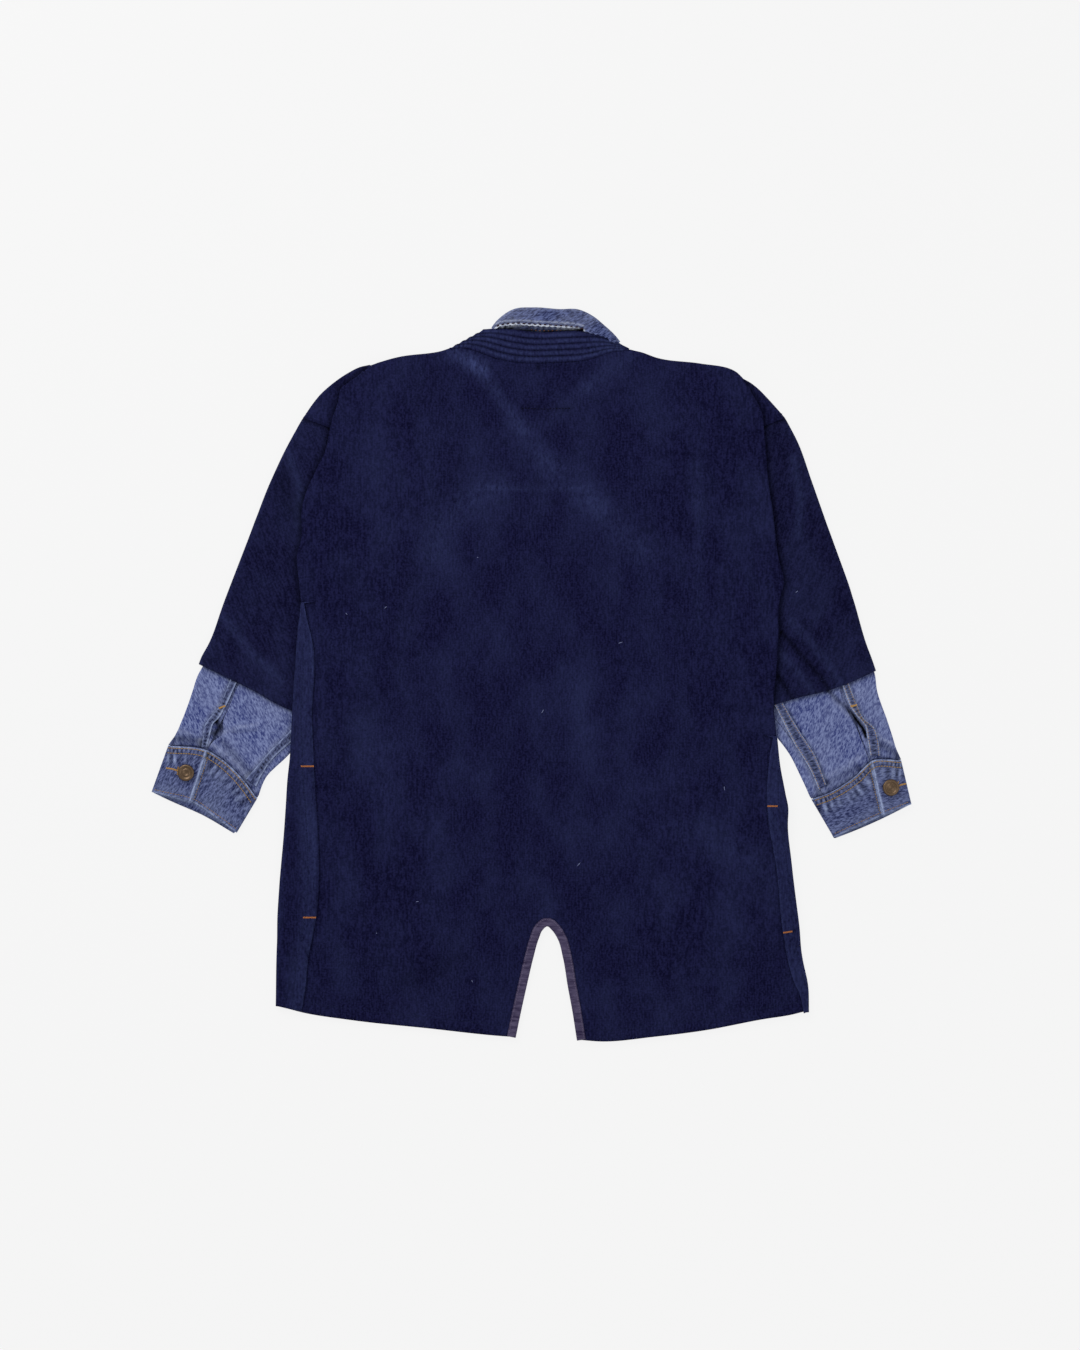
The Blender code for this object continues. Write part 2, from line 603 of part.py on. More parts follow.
def build_denim_sleeve(side, finish, collection):
    """The denim sleeve: a top panel and an under panel that share one flattened tube."""
    rows = 9
    plan = denim_plan(side, rows)
    way = np.linspace(0.0, 1.0, rows)

    def low(points):
        inside = ease(1 + (depth_inside(points, sleeve_outline(side)) + HEM_CLEAR) / HEM_STEP)
        return DENIM / 2 + (DENIM_LOW_INSIDE - DENIM / 2) * inside

    over, inner_fold, under, outer_fold, inset = tube_parts(
        plan, plan, low, DENIM_HIGH, DENIM, 8, 6, 4)
    length = np.linalg.norm(np.diff(plan, axis=1), axis=2).sum(axis=1)
    (near_start, near_stop), (far_start, far_stop) = side.denim_seams
    near = near_start + (near_stop - near_start) * way
    far = far_start + (far_stop - far_start) * way
    half = GAP / 2 / length
    slit = VENT_GAP / length * ease((way - 0.82) / 0.1)
    top = lift(span(plan, near + half + slit, far - half, 8), DENIM_HIGH)
    inner_part = lift(span(plan, far + half, 1 - inset, 3), DENIM_HIGH)
    outer_part = lift(span(plan, inset, near - half, 4), DENIM_HIGH)
    under_grid = np.concatenate([inner_part, inner_fold, under, outer_fold, outer_part], axis=1)
    sheet("denim_top_" + side.name, top, DENIM, finish, collection)
    sheet("denim_under_" + side.name, under_grid, DENIM, finish, collection)


def build_cuff(side, finish, collection):
    """The cuff: one strip from its hidden end, round the arm, to the end lapped over it."""
    rows = 5
    first = through(side.cuff_top, OUTLINE_STEPS)
    over_last = through(side.cuff_edge, OUTLINE_STEPS)
    under_last = through(side.cuff_under_edge, OUTLINE_STEPS)
    outer = through([first[0], over_last[0]], rows)
    inner = through([first[-1], over_last[-1]], rows)
    plan = patch(first, over_last, outer, inner)
    under_inner = through([first[-1], under_last[-1]], rows)
    under_plan = patch(first, under_last, outer, under_inner)
    over, inner_fold, under, outer_fold, inset = tube_parts(
        plan, under_plan, flat(CUFF_LOW), CUFF_HIGH, CUFF, 10, 6, 4)
    length = np.linalg.norm(np.diff(plan, axis=1), axis=2).sum(axis=1)
    way = np.linspace(0.0, 1.0, rows)
    lap_edge = side.cuff_lap[0] + (side.cuff_lap[1] - side.cuff_lap[0]) * way
    hidden = lap_edge - CUFF_LAP / length
    lapped = CUFF_HIGH + CUFF + GAP
    rise = ease(1.6 * np.linspace(0.0, 1.0, 5)[None, :] ** 0.7)
    upper_lap = lift(span(plan, inset, lap_edge, 5), CUFF_HIGH + (lapped - CUFF_HIGH) * rise)
    lower_lap = lift(span(plan, hidden, 1 - inset, 9), CUFF_HIGH)
    grid = np.concatenate([lower_lap, inner_fold, under, outer_fold, upper_lap], axis=1)
    return sheet("cuff_" + side.name, grid, CUFF, finish, collection)


def build_button(side, finish, collection):
    """A dished metal button on its shank, turned round its own axis."""
    r, h = BUTTON_RADIUS, BUTTON_HEIGHT
    profile = [(0.0, h - 0.6), (0.48 * r, h - 0.6), (0.56 * r, h), (0.84 * r, h), (r, h - 1.1),
               (0.95 * r, h - 2.0), (BUTTON_SHANK, h - 2.2), (BUTTON_SHANK, 0.0), (0.0, 0.0)]
    edges = [(i, i + 1) for i in range(len(profile) - 1)]
    mesh = bpy.data.meshes.new("cuff_button_" + side.name)
    mesh.from_pydata([(x * MM, 0.0, z * MM) for x, z in profile], edges, [])
    mesh.materials.append(finish)
    obj = bpy.data.objects.new("cuff_button_" + side.name, mesh)
    collection.objects.link(obj)
    height = CUFF_HIGH + CUFF + GAP + CUFF / 2 + GAP
    obj.location = (side.button[0] * MM, side.button[1] * MM, height * MM)
    turned = obj.modifiers.new("turned", "SCREW")
    turned.steps = turned.render_steps = 20
    turned.use_merge_vertices = True
    turned.merge_threshold = 0.00001
    turned.use_normal_calculate = True
    return obj


def build_neck_band(finish, collection):
    """The band at the back of the neck, whose rows of stitching leave ridges between them."""
    columns, steps = 28, (0.0, 0.3, 0.7)
    stops = [row + step for row in range(BAND_ROWS) for step in steps] + [BAND_ROWS]
    across = np.array(stops) / BAND_ROWS
    seam, top = through(BAND_SEAM, columns) + [0.0, GAP], through(BAND_TOP, columns)
    plan = seam[None] + (top - seam)[None] * across[:, None, None]
    high = (across * BAND_ROWS) % 1.0 > 0.01
    height = BAND_LOW + BAND - BAND_RELIEF * ~high
    upper = lift(plan, np.broadcast_to(height[:, None], plan.shape[:2]))
    lower = lift(plan, BAND_LOW)
    return slab("neck_band", upper, lower, finish, collection)


def build_collar(finish, collection):
    """The collar: a stand on the surface, a roll, and a leaf folded down over the stand."""
    stations, stand_columns, leaf_columns, roll_columns = 20, 3, 4, 5
    base, top, edge = (through(p, stations) for p in (COLLAR_BASE, COLLAR_TOP, COLLAR_EDGE))
    outward = unit(top - base)
    centre = top - outward * (COLLAR_ROLL + COLLAR / 2)
    reach = np.maximum(((centre - edge) * outward).sum(axis=1), COLLAR_LEAF_LEAST)
    edge = centre - outward * reach[:, None]
    low = COLLAR / 2
    high = low + 2 * COLLAR_ROLL
    up_stand = np.linspace(0.0, 1.0, stand_columns)[None, :, None]
    down_leaf = np.linspace(0.0, 1.0, leaf_columns)[None, :, None]
    stand = base[:, None] + (centre - base)[:, None] * up_stand
    leaf = centre[:, None] + (edge - centre)[:, None] * down_leaf
    grid = np.concatenate([lift(stand, low), turn(centre, outward, low, high, roll_columns, True),
                           lift(leaf, high)], axis=1)
    return sheet("denim_collar", grid, COLLAR, finish, collection)


def build_pocket(side, finish, collection):
    """The bag behind a seam pocket: one strip folded at its inner edge, open at the mouth."""
    mouth_top, mouth_bottom, inner_bottom, inner_top = (np.array(p, float) for p in side.pocket)
    rows = 9
    mouth = through([mouth_bottom, mouth_top], rows)
    inner = through([inner_bottom, inner_top], rows)
    plan = mouth[:, None] + (inner - mouth)[:, None] * np.linspace(0.0, 1.0, 4)[None, :, None]
    low = front_mid(plan) + SASHIKO / 2 + 2 * GAP + POCKET / 2
    high = low + POCKET + 2 * GAP
    centre = plan[:, -1]
    bend = turn(centre, unit(plan[:, -1] - plan[:, -2]), low[:, -1], high[:, -1], 3, True)
    grid = np.concatenate([lift(plan, low), bend, lift(plan[:, ::-1], high[:, ::-1])], axis=1)
    return sheet("pocket_" + side.name, grid, POCKET, finish, collection)


def make_finish(name):
    """The material of one finish."""
    colour, roughness, metallic = FINISHES[name]
    finish = bpy.data.materials.new(name)
    finish.use_nodes = True
    shader = finish.node_tree.nodes["Principled BSDF"]
    shader.inputs["Base Color"].default_value = colour
    shader.inputs["Roughness"].default_value = roughness
    shader.inputs["Metallic"].default_value = metallic
    finish.diffuse_color = colour
    return finish


def clear_scene():
    """Removes every object."""
    for obj in list(bpy.data.objects):
        bpy.data.objects.remove(obj, do_unlink=True)


def new_collection(name):
    """A collection of that name in the scene."""
    collection = bpy.data.collections.new(name)
    bpy.context.scene.collection.children.link(collection)
    return collection


def main():
    """Builds the whole coat."""
    clear_scene()
    coat = new_collection("sashiko_denim_coat")
    cutters = new_collection("cutters")
    navy, denim, grosgrain, cotton, brass = (make_finish(name) for name in FINISHES)
    build_back(navy, coat, cutters)
    build_binding(grosgrain, coat)
    build_neck_band(navy, coat)
    build_collar(denim, coat)
    for side in SIDES:
        build_front(side, navy, coat)
        build_front_band(side, navy, coat)
        build_shoulder(side, navy, coat)
        build_sleeve(side, navy, coat)
        build_denim_sleeve(side, denim, coat)
        build_cuff(side, denim, coat)
        build_button(side, brass, coat)
        build_pocket(side, cotton, coat)


main()
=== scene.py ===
"""A sashiko and denim coat lying face down, seen from straight above.

Every piece of cloth is a thin sheet on the form of its CAD node, on a finer grid, with its soft
creases, hems and seams raised in it. Sewing, faded edges, painted shade and painted highlights,
button faces and lint are laid on the cloth. Sizes and places are in millimetres and MM turns them
to metres: +X runs to the right sleeve, +Y to the collar and +Z up from the floor.
"""

import logging
import math
from dataclasses import dataclass
from enum import Enum
from typing import Callable, Optional, Sequence

import bpy
import numpy as np
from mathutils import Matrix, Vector
from mathutils.bvhtree import BVHTree


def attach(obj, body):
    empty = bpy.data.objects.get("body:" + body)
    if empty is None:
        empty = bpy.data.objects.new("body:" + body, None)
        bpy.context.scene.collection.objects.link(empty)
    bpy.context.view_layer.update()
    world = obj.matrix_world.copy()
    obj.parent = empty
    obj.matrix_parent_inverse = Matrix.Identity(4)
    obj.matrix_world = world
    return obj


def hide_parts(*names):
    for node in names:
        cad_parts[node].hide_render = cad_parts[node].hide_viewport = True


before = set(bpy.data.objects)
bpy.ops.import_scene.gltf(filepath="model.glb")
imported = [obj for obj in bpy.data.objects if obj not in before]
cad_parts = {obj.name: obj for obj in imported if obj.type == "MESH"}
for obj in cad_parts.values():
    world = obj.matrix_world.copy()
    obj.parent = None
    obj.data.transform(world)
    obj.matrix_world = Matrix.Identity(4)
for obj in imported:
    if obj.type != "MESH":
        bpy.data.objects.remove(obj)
LOG = logging.getLogger("coat")

MM = 0.001
Grid = np.ndarray
Line = Sequence[tuple[float, float]]

# Walls of the cloth, and the air that is kept between two walls
GAP = 0.3
SASHIKO = 1.6
DENIM = 1.2
CUFF = 2.2
COLLAR = 2.0
BINDING = 1.0
POCKET = 1.0
BAND = 3.6
FRONT_BAND = 2.2
PLY = 3.2

# Heights of the middle of each wall above the floor
FLOOR_MID = SASHIKO / 2
SLEEVE_HIGH = 6.0
DENIM_LOW_INSIDE = 2.5
DENIM_HIGH = 4.3
CUFF_LOW = CUFF / 2
CUFF_HIGH = 4.5
BAND_LOW = 2.6

# How the body cloth comes down beside what lies under it
SPREAD = 55.0
REACH = 13.0
REST = 0.8
POCKET_REACH = 14.0
POCKET_SPREAD = 30.0
POCKET_RAISE = 2.8
RETURN = 8.0
FRONT_CLEAR = 3.0
LAP_OVER_BACK = SASHIKO + 0.8
HEM_DEPTH = 13.0
STRIP_PITCH = 4.2
SCALLOP = 5.7
BINDING_WIDTH = 9.5

# What sewing does to the cloth beside it
HEM_PROUD = 0.7
SEAM_PROUD = 0.5
SLEEVE_HEM_PROUD = 0.6
PROUD_SOFTNESS = 2.5
ROW_ABOVE_EDGE = HEM_DEPTH - 0.8
CUFF_STREAK_PITCH = 9.5
CUFF_STREAK_DEPTH = 14.0
CUFF_TICK_PITCH = 4.4
CUFF_TICK_DEPTH = 4.8
CUFF_SEAM_ROWS = (2.2, 7.6)
CUFF_HEM_ROW = 3.4
ALLOWANCE_REACH = 6.5
DROP_FROM = 200.0

# Outlines from left to right, or from the hem up
HEM = [(-270, -358.5), (-250, -364), (-194, -373), (-110, -382), (-35, -390), (49, -394),
       (74, -396), (132, -391), (187, -384), (250, -372), (281, -367), (293, -364)]
SHOULDERS = [(-180, 331), (-142, 342), (-101, 348), (-86, 351.5), (-75, 352), (-58, 348),
             (-39, 341), (-19, 337), (19, 336), (63, 340), (85, 347), (103, 350),
             (117, 348), (134, 342), (182, 335), (218, 327), (233, 315.5)]
NECK_ENDS = (-86.0, 103.0)
BAND_SEAM = [(-88.5, 350.6), (-75, 352.3), (-58, 348.3), (-39, 341.3), (-19, 337.3), (19, 336.3),
             (63, 340.3), (85, 347.8), (105.5, 350.2)]
BAND_TOP = [(-52, 371), (-29, 372), (-19, 371), (9, 368), (31, 369), (55, 370), (72, 369),
            (83, 364), (89, 360), (97, 354)]
COLLAR_BASE = [(-46, 354), (-19, 348), (19, 347), (63, 350), (86, 353)]
COLLAR_TOP = [(-42, 375), (-39, 379), (-32, 386), (-19, 393.9), (3, 395.8), (31, 393.9),
              (50, 393.7), (67, 386), (78, 377), (89, 367), (96, 359)]
COLLAR_EDGE = [(-41, 371), (-38, 373.5), (-29, 375), (-15, 376.5), (3, 375.5), (31, 374), (49, 372.5),
               (58, 369.5), (79, 364), (91, 357)]
VENT = [(-17, -392), (-11, -363), (-5, -336), (2, -306), (8, -285), (12, -276), (17, -272),
        (22, -276), (28, -285), (34, -306), (39, -336), (44, -363), (49, -395)]


# Curves and surfaces


def through(points: Line, count: int) -> Grid:
    """Even steps along a smooth curve through the given points.

    Args:
        points: Places that the curve passes.
        count: Number of points to return.

    Returns:
        The points, a cubic Hermite curve's, from the first place to the last.
    """
    known = np.array(points, float)
    chord = np.concatenate([[0.0], np.cumsum(np.linalg.norm(np.diff(known, axis=0), axis=1))])
    slope = np.gradient(known, chord, axis=0)
    place = np.linspace(0.0, chord[-1], count)
    left = np.clip(np.searchsorted(chord, place, side="right") - 1, 0, len(known) - 2)
    step = (chord[left + 1] - chord[left])[:, None]
    t = (place - chord[left])[:, None] / step
    return ((2 * t**3 - 3 * t**2 + 1) * known[left] + (t**3 - 2 * t**2 + t) * step * slope[left]
            + (3 * t**2 - 2 * t**3) * known[left + 1] + (t**3 - t**2) * step * slope[left + 1])


def patch(first_row: Grid, last_row: Grid, first_column: Grid, last_column: Grid) -> Grid:
    """A grid of plan points spanned between four outline curves that share their corners.

    Args:
        first_row: The curve at the grid's start.
        last_row: The curve at its end.
        first_column: The curve down its first side.
        last_column: The curve down its last side.

    Returns:
        Rows and columns of points: both ruled surfaces added, less the corners' share.
    """
    u = np.linspace(0.0, 1.0, len(first_row))[None, :, None]
    v = np.linspace(0.0, 1.0, len(first_column))[:, None, None]
    rows = (1 - v) * first_row[None] + v * last_row[None]
    columns = (1 - u) * first_column[:, None] + u * last_column[:, None]
    ends = ((1 - v) * ((1 - u) * first_row[0] + u * first_row[-1])
            + v * ((1 - u) * last_row[0] + u * last_row[-1]))
    return rows + columns - ends


def ruled(first: Grid, last: Grid, count: int) -> Grid:
    """A grid of plan points on straight lines from one curve to another."""
    across = np.linspace(0.0, 1.0, count)[None, :, None]
    return first[:, None] + (last - first)[:, None] * across


def span(plan: Grid, start: float | Grid, stop: float | Grid, count: int) -> Grid:
    """Even steps along each row of a plan, between two fractions of its length.

    Args:
        plan: Rows of plan points.
        start: Fraction at which each row starts.
        stop: Fraction at which each row stops.
        count: Points in each row.

    Returns:
        The new rows.
    """
    start, stop = (np.broadcast_to(np.asarray(f, float), len(plan)) for f in (start, stop))
    place = start[:, None] + (stop - start)[:, None] * np.linspace(0.0, 1.0, count)
    known = np.linspace(0.0, 1.0, plan.shape[1])
    return np.stack([[np.interp(p, known, row[:, axis]) for axis in (0, 1)]
                     for p, row in zip(place, plan)]).transpose(0, 2, 1)


def lift(plan: Grid, height: float | Grid) -> Grid:
    """Plan points at a height, which may be one number, one for each row or one for each point.

    Args:
        plan: Points in plan.
        height: Their height.

    Returns:
        Points with all three coordinates.
    """
    height = np.asarray(height, float)
    if height.ndim == 1:
        height = height[:, None]
    return np.dstack([plan, np.broadcast_to(height, plan.shape[:2])])


def turn(centre: Grid, outward: Grid, low: float | Grid, high: float | Grid, count: int,
         upward: bool) -> Grid:
    """The round of cloth where a wall folds over, between two heights, without its end points.

    Args:
        centre: Middle of the fold at each station.
        outward: Where the fold points, in plan.
        low: Height of the lower wall's middle.
        high: Height of the upper wall's middle.
        count: Points round the fold.
        upward: Whether the first point is the lowest.

    Returns:
        Half circles of points, one for each station.
    """
    angle = np.linspace(-90.0, 90.0, count + 2)[1:-1]
    angle = np.radians(angle if upward else angle[::-1])[None, :]
    low, high = (np.broadcast_to(np.asarray(h, float), len(centre))[:, None] for h in (low, high))
    radius = (high - low) / 2
    plan = centre[:, None] + outward[:, None] * (radius * np.cos(angle))[..., None]
    return np.dstack([plan, (low + high) / 2 + radius * np.sin(angle)])


def unit(vectors: Grid) -> Grid:
    """Vectors of the same direction, each of length 1."""
    return vectors / np.linalg.norm(vectors, axis=-1, keepdims=True)


def row_length(plan: Grid) -> Grid:
    """Length of each row of a grid."""
    return np.linalg.norm(np.diff(plan, axis=1), axis=2).sum(axis=1)


def ease(x: float | Grid) -> Grid:
    """Smooth step from 0 to 1."""
    x = np.clip(x, 0.0, 1.0)
    return x * x * (3 - 2 * x)


def depth_inside(plan: Grid, outline: Line) -> Grid:
    """Distance of plan points from a closed outline: above 0 inside it and below 0 outside.

    Args:
        plan: Points in plan.
        outline: Corners of the outline.

    Returns:
        The distance at each point.
    """
    points = plan.reshape(-1, 1, 2)
    start = np.array(outline, float)[None]
    edge = np.roll(start, -1, axis=1) - start
    offset = points - start
    along = np.clip((offset * edge).sum(-1) / np.maximum((edge**2).sum(-1), 1e-9), 0.0, 1.0)
    distance = np.linalg.norm(offset - along[..., None] * edge, axis=-1).min(axis=1)
    above = start[..., 1] > points[..., 1]
    crosses = above != np.roll(above, -1, axis=1)
    reach = start[..., 0] + edge[..., 0] * (points[..., 1] - start[..., 1]) / np.where(
        edge[..., 1] == 0, 1e-9, edge[..., 1])
    inside = (crosses & (points[..., 0] < reach)).sum(axis=1) % 2 == 1
    return np.where(inside, distance, -distance).reshape(plan.shape[:-1])


def nearest(plan: Grid, line: Line) -> tuple[Grid, Grid]:
    """Distance of plan points from an open line, and how far along it the nearest point lies.

    Args:
        plan: Points in plan.
        line: Corners of the line.

    Returns:
        Both distances at each point.
    """
    points = plan.reshape(-1, 1, 2)
    ends = np.array(line, float)
    start = ends[None, :-1]
    edge = np.diff(ends, axis=0)[None]
    length = np.linalg.norm(edge, axis=-1)
    offset = points - start
    along = np.clip((offset * edge).sum(-1) / np.maximum(length**2, 1e-9), 0.0, 1.0)
    distance = np.linalg.norm(offset - along[..., None] * edge, axis=-1)
    closest = distance.argmin(axis=1)
    row = np.arange(len(closest))
    before = np.concatenate([[0.0], np.cumsum(length[0])[:-1]])
    travelled = before[closest] + along[row, closest] * length[0, closest]
    return distance[row, closest].reshape(plan.shape[:-1]), travelled.reshape(plan.shape[:-1])


def off_line(plan: Grid, line: Line) -> Grid:
    """Distance of plan points from an open line."""
    return nearest(plan, line)[0]


@dataclass(frozen=True)
class Mark:
    """Something that follows a line on the cloth: a crease's rise, a fade's strength, or the strength of
    a painted shade or highlight.
    """

    line: Line
    width: float
    amount: float

    def at(self, plan: Grid) -> Grid:
        """Its amount at plan points: amount * exp(-(distance / width)^2)."""
        return self.amount * np.exp(-(off_line(plan, self.line) / self.width) ** 2)


@dataclass(frozen=True)
class Puckers:
    """Small waves where a seam draws its cloth in, as high at most as their amount."""

    line: Line
    width: float
    amount: float
    pitch: float = 8.5

    def at(self, plan: Grid) -> Grid:
        """amount * sin(2 pi s / pitch) * exp(-(distance / width)^2), whose pitch and height wander.

        Args:
            plan: Points in plan.

        Returns:
            The rise at each point.
        """
        distance, travelled = nearest(plan, self.line)
        wander = 1.3 * np.sin(travelled / 11.0) + np.sin(travelled / 4.7)
        phase = 2 * np.pi * travelled / self.pitch + wander
        height = self.amount * (0.65 + 0.35 * np.sin(travelled / 7.3 + 1.0))
        return height * np.sin(phase) * np.exp(-(distance / self.width) ** 2)


def total(marks: Sequence, plan: Grid) -> Grid:
    """What several marks add up to at plan points."""
    return sum((mark.at(plan) for mark in marks), np.zeros(plan.shape[:-1]))


@dataclass(frozen=True)
class Side:
    """One side of the coat: its outlines from above, outer edge first or from the top down.

    Of the rest, out is the way to its sleeve along X, lower is the share of the back's rows below
    the underarm, and grain is the turn of the sleeve's warp in degrees. denim_seams and cuff_lap
    are fractions across the piece at its top and bottom. slit says how far down the panel it gapes,
    over what share of it, and how widely in millimetres.
    """

    name: str
    out: int
    underarm: float
    fold: Line
    side_edge: Line
    side_seam: Line
    shoulder_edge: Line
    shoulder_hidden: Line
    sleeve_outer: Line
    sleeve_inner: Line
    armhole: Line
    sleeve_hem: Line
    denim_outer: Line
    denim_inner: Line
    denim_seams: tuple
    placket: tuple[Line, Line]
    placket_tack: Line
    slit: tuple[float, float, float]
    felled: tuple[Line, Line]
    cuff_top: Line
    cuff_edge: Line
    cuff_under_edge: Line
    cuff_lap: tuple[float, float]
    button: tuple[float, float]
    buttonhole: Line
    front_top: Line
    front_edge: Line
    band_edge: Line
    pocket: Line
    bar_tacks: tuple
    lower: float
    grain: float
    sleeve_folds: tuple
    denim_folds: tuple
    denim_painted_shade: tuple
    denim_pale: tuple


LEFT = Side(
    name="left",
    out=-1,
    underarm=77,
    fold=((-248, 77), (-251, 105), (-253, 126), (-248, 146), (-247, 181), (-243, 195), (-233, 218),
          (-222, 241), (-216, 270), (-208, 295), (-205, 308), (-197, 314), (-186, 323), (-180, 331)),
    side_edge=((-276, -358), (-275, -298), (-271, -228), (-265, -163), (-260, -84), (-257, -27),
               (-253, 32), (-248.6, 76.7)),
    side_seam=((-248, -364), (-244, -341), (-241, -309), (-232, -262), (-234, -99), (-236, -49),
               (-235, 32), (-237, 42), (-242, 62), (-244.5, 76.5)),
    shoulder_edge=((-175, 333.5), (-186, 331), (-197, 325.5), (-214, 314), (-229, 300.5), (-238, 289),
                   (-246, 277)),
    shoulder_hidden=((-158, 324), (-160, 300), (-160, 270), (-160, 241)),
    sleeve_outer=((-247, 276), (-262, 249), (-281, 210), (-306, 145), (-331, 80), (-349, 32),
                  (-356, 19), (-359, 11)),
    sleeve_inner=((-127, 226), (-160, 133), (-192, 43), (-224, -47)),
    armhole=((-247, 276), (-217, 265), (-172, 246), (-127, 226)),
    sleeve_hem=((-359, 11), (-334, -1), (-301, -17), (-264, -37), (-224, -47)),
    denim_outer=((-331, 64), (-346, 26), (-355, 8), (-360, -1), (-371, -33), (-385, -66),
                 (-392, -76.5)),
    denim_inner=((-208, 12), (-219, -20), (-232, -47), (-260, -85), (-289, -116), (-295.5, -133.5)),
    denim_seams=((0.30, 0.36), (0.95, 0.90)),
    placket=(((-320, 6), (-327, -11), (-337, -35), (-347, -47), (-353, -56), (-354, -67), (-356, -79)),
             ((-311, 6), (-319, -11), (-330, -35), (-337, -47), (-343, -53), (-346, -63), (-350, -78))),
    placket_tack=((-338, -37), (-330, -34)),
    slit=(0.84, 0.07, 7.0),
    felled=(((-226, -20), (-260, -61), (-282, -83), (-296, -99), (-308, -113)),
            ((-224, -36), (-257, -71), (-278, -90), (-290, -107), (-297, -121))),
    cuff_top=((-392, -77), (-350, -82), (-331, -94), (-310, -115), (-296, -134)),
    cuff_edge=((-410, -127), (-397, -130), (-363, -139), (-347, -150), (-318, -171)),
    cuff_under_edge=((-410, -127), (-389, -137), (-355, -152), (-319, -173)),
    cuff_lap=(0.36, 0.42),
    button=(-372, -106),
    buttonhole=((-394, -101), (-387, -102), (-381, -104)),
    front_top=((-167, 319), (-142, 327.5), (-101, 334.5), (-82, 337)),
    front_edge=((-61.5, -384), (-61.5, 0), (-61.5, 200), (-66, 290), (-82, 337)),
    band_edge=((-27.5, -384), (-27.5, 0), (-27.5, 200), (-33, 290), (-50, 334)),
    pocket=((-243, -128), (-244, -255), (-130, -300), (-115, -112)),
    bar_tacks=(((-248, -99), (-234, -99)), ((-246, -262), (-232, -262))),
    lower=16 / 26,
    grain=-21.0,
    sleeve_folds=(Mark(((-262, 236), (-250, 200), (-252, 160)), 10.0, 0.6),
                  Mark(((-330, 60), (-300, 20), (-270, -6)), 13.0, 0.5)),
    denim_folds=(Mark(((-388, -66), (-370, -69), (-357, -72)), 4.0, -0.8),
                 Mark(((-380, -52), (-362, -58)), 5.0, 0.7),
                 Mark(((-324, -58), (-300, -56), (-280, -50)), 5.0, 0.5),
                 Mark(((-334, -70), (-312, -94), (-300, -104)), 4.0, -0.6)),
    # Painted shade on the denim: in its folds, in the slit and beside the raised seams.
    denim_painted_shade=(Mark(((-390, -68), (-372, -70), (-357, -73)), 4.5, 0.5),
                Mark(((-340, -50), (-336, -58), (-342, -64)), 4.0, 0.85),
                Mark(((-334, -72), (-316, -92), (-302, -108)), 4.5, 0.35),
                Mark(((-322, -62), (-296, -60)), 1.6, 0.25),
                Mark(((-318, -10), (-329, -36)), 1.8, 0.35)),
    denim_pale=(Mark(((-358, -72), (-350, -74)), 3.0, 0.8),
                Mark(((-344, -76), (-322, -92), (-304, -112)), 2.2, 0.4),
                Mark(((-334, -64), (-318, -57), (-296, -54)), 1.8, 0.35),
                Mark(((-386, -60), (-366, -64)), 2.2, 0.35)),
)
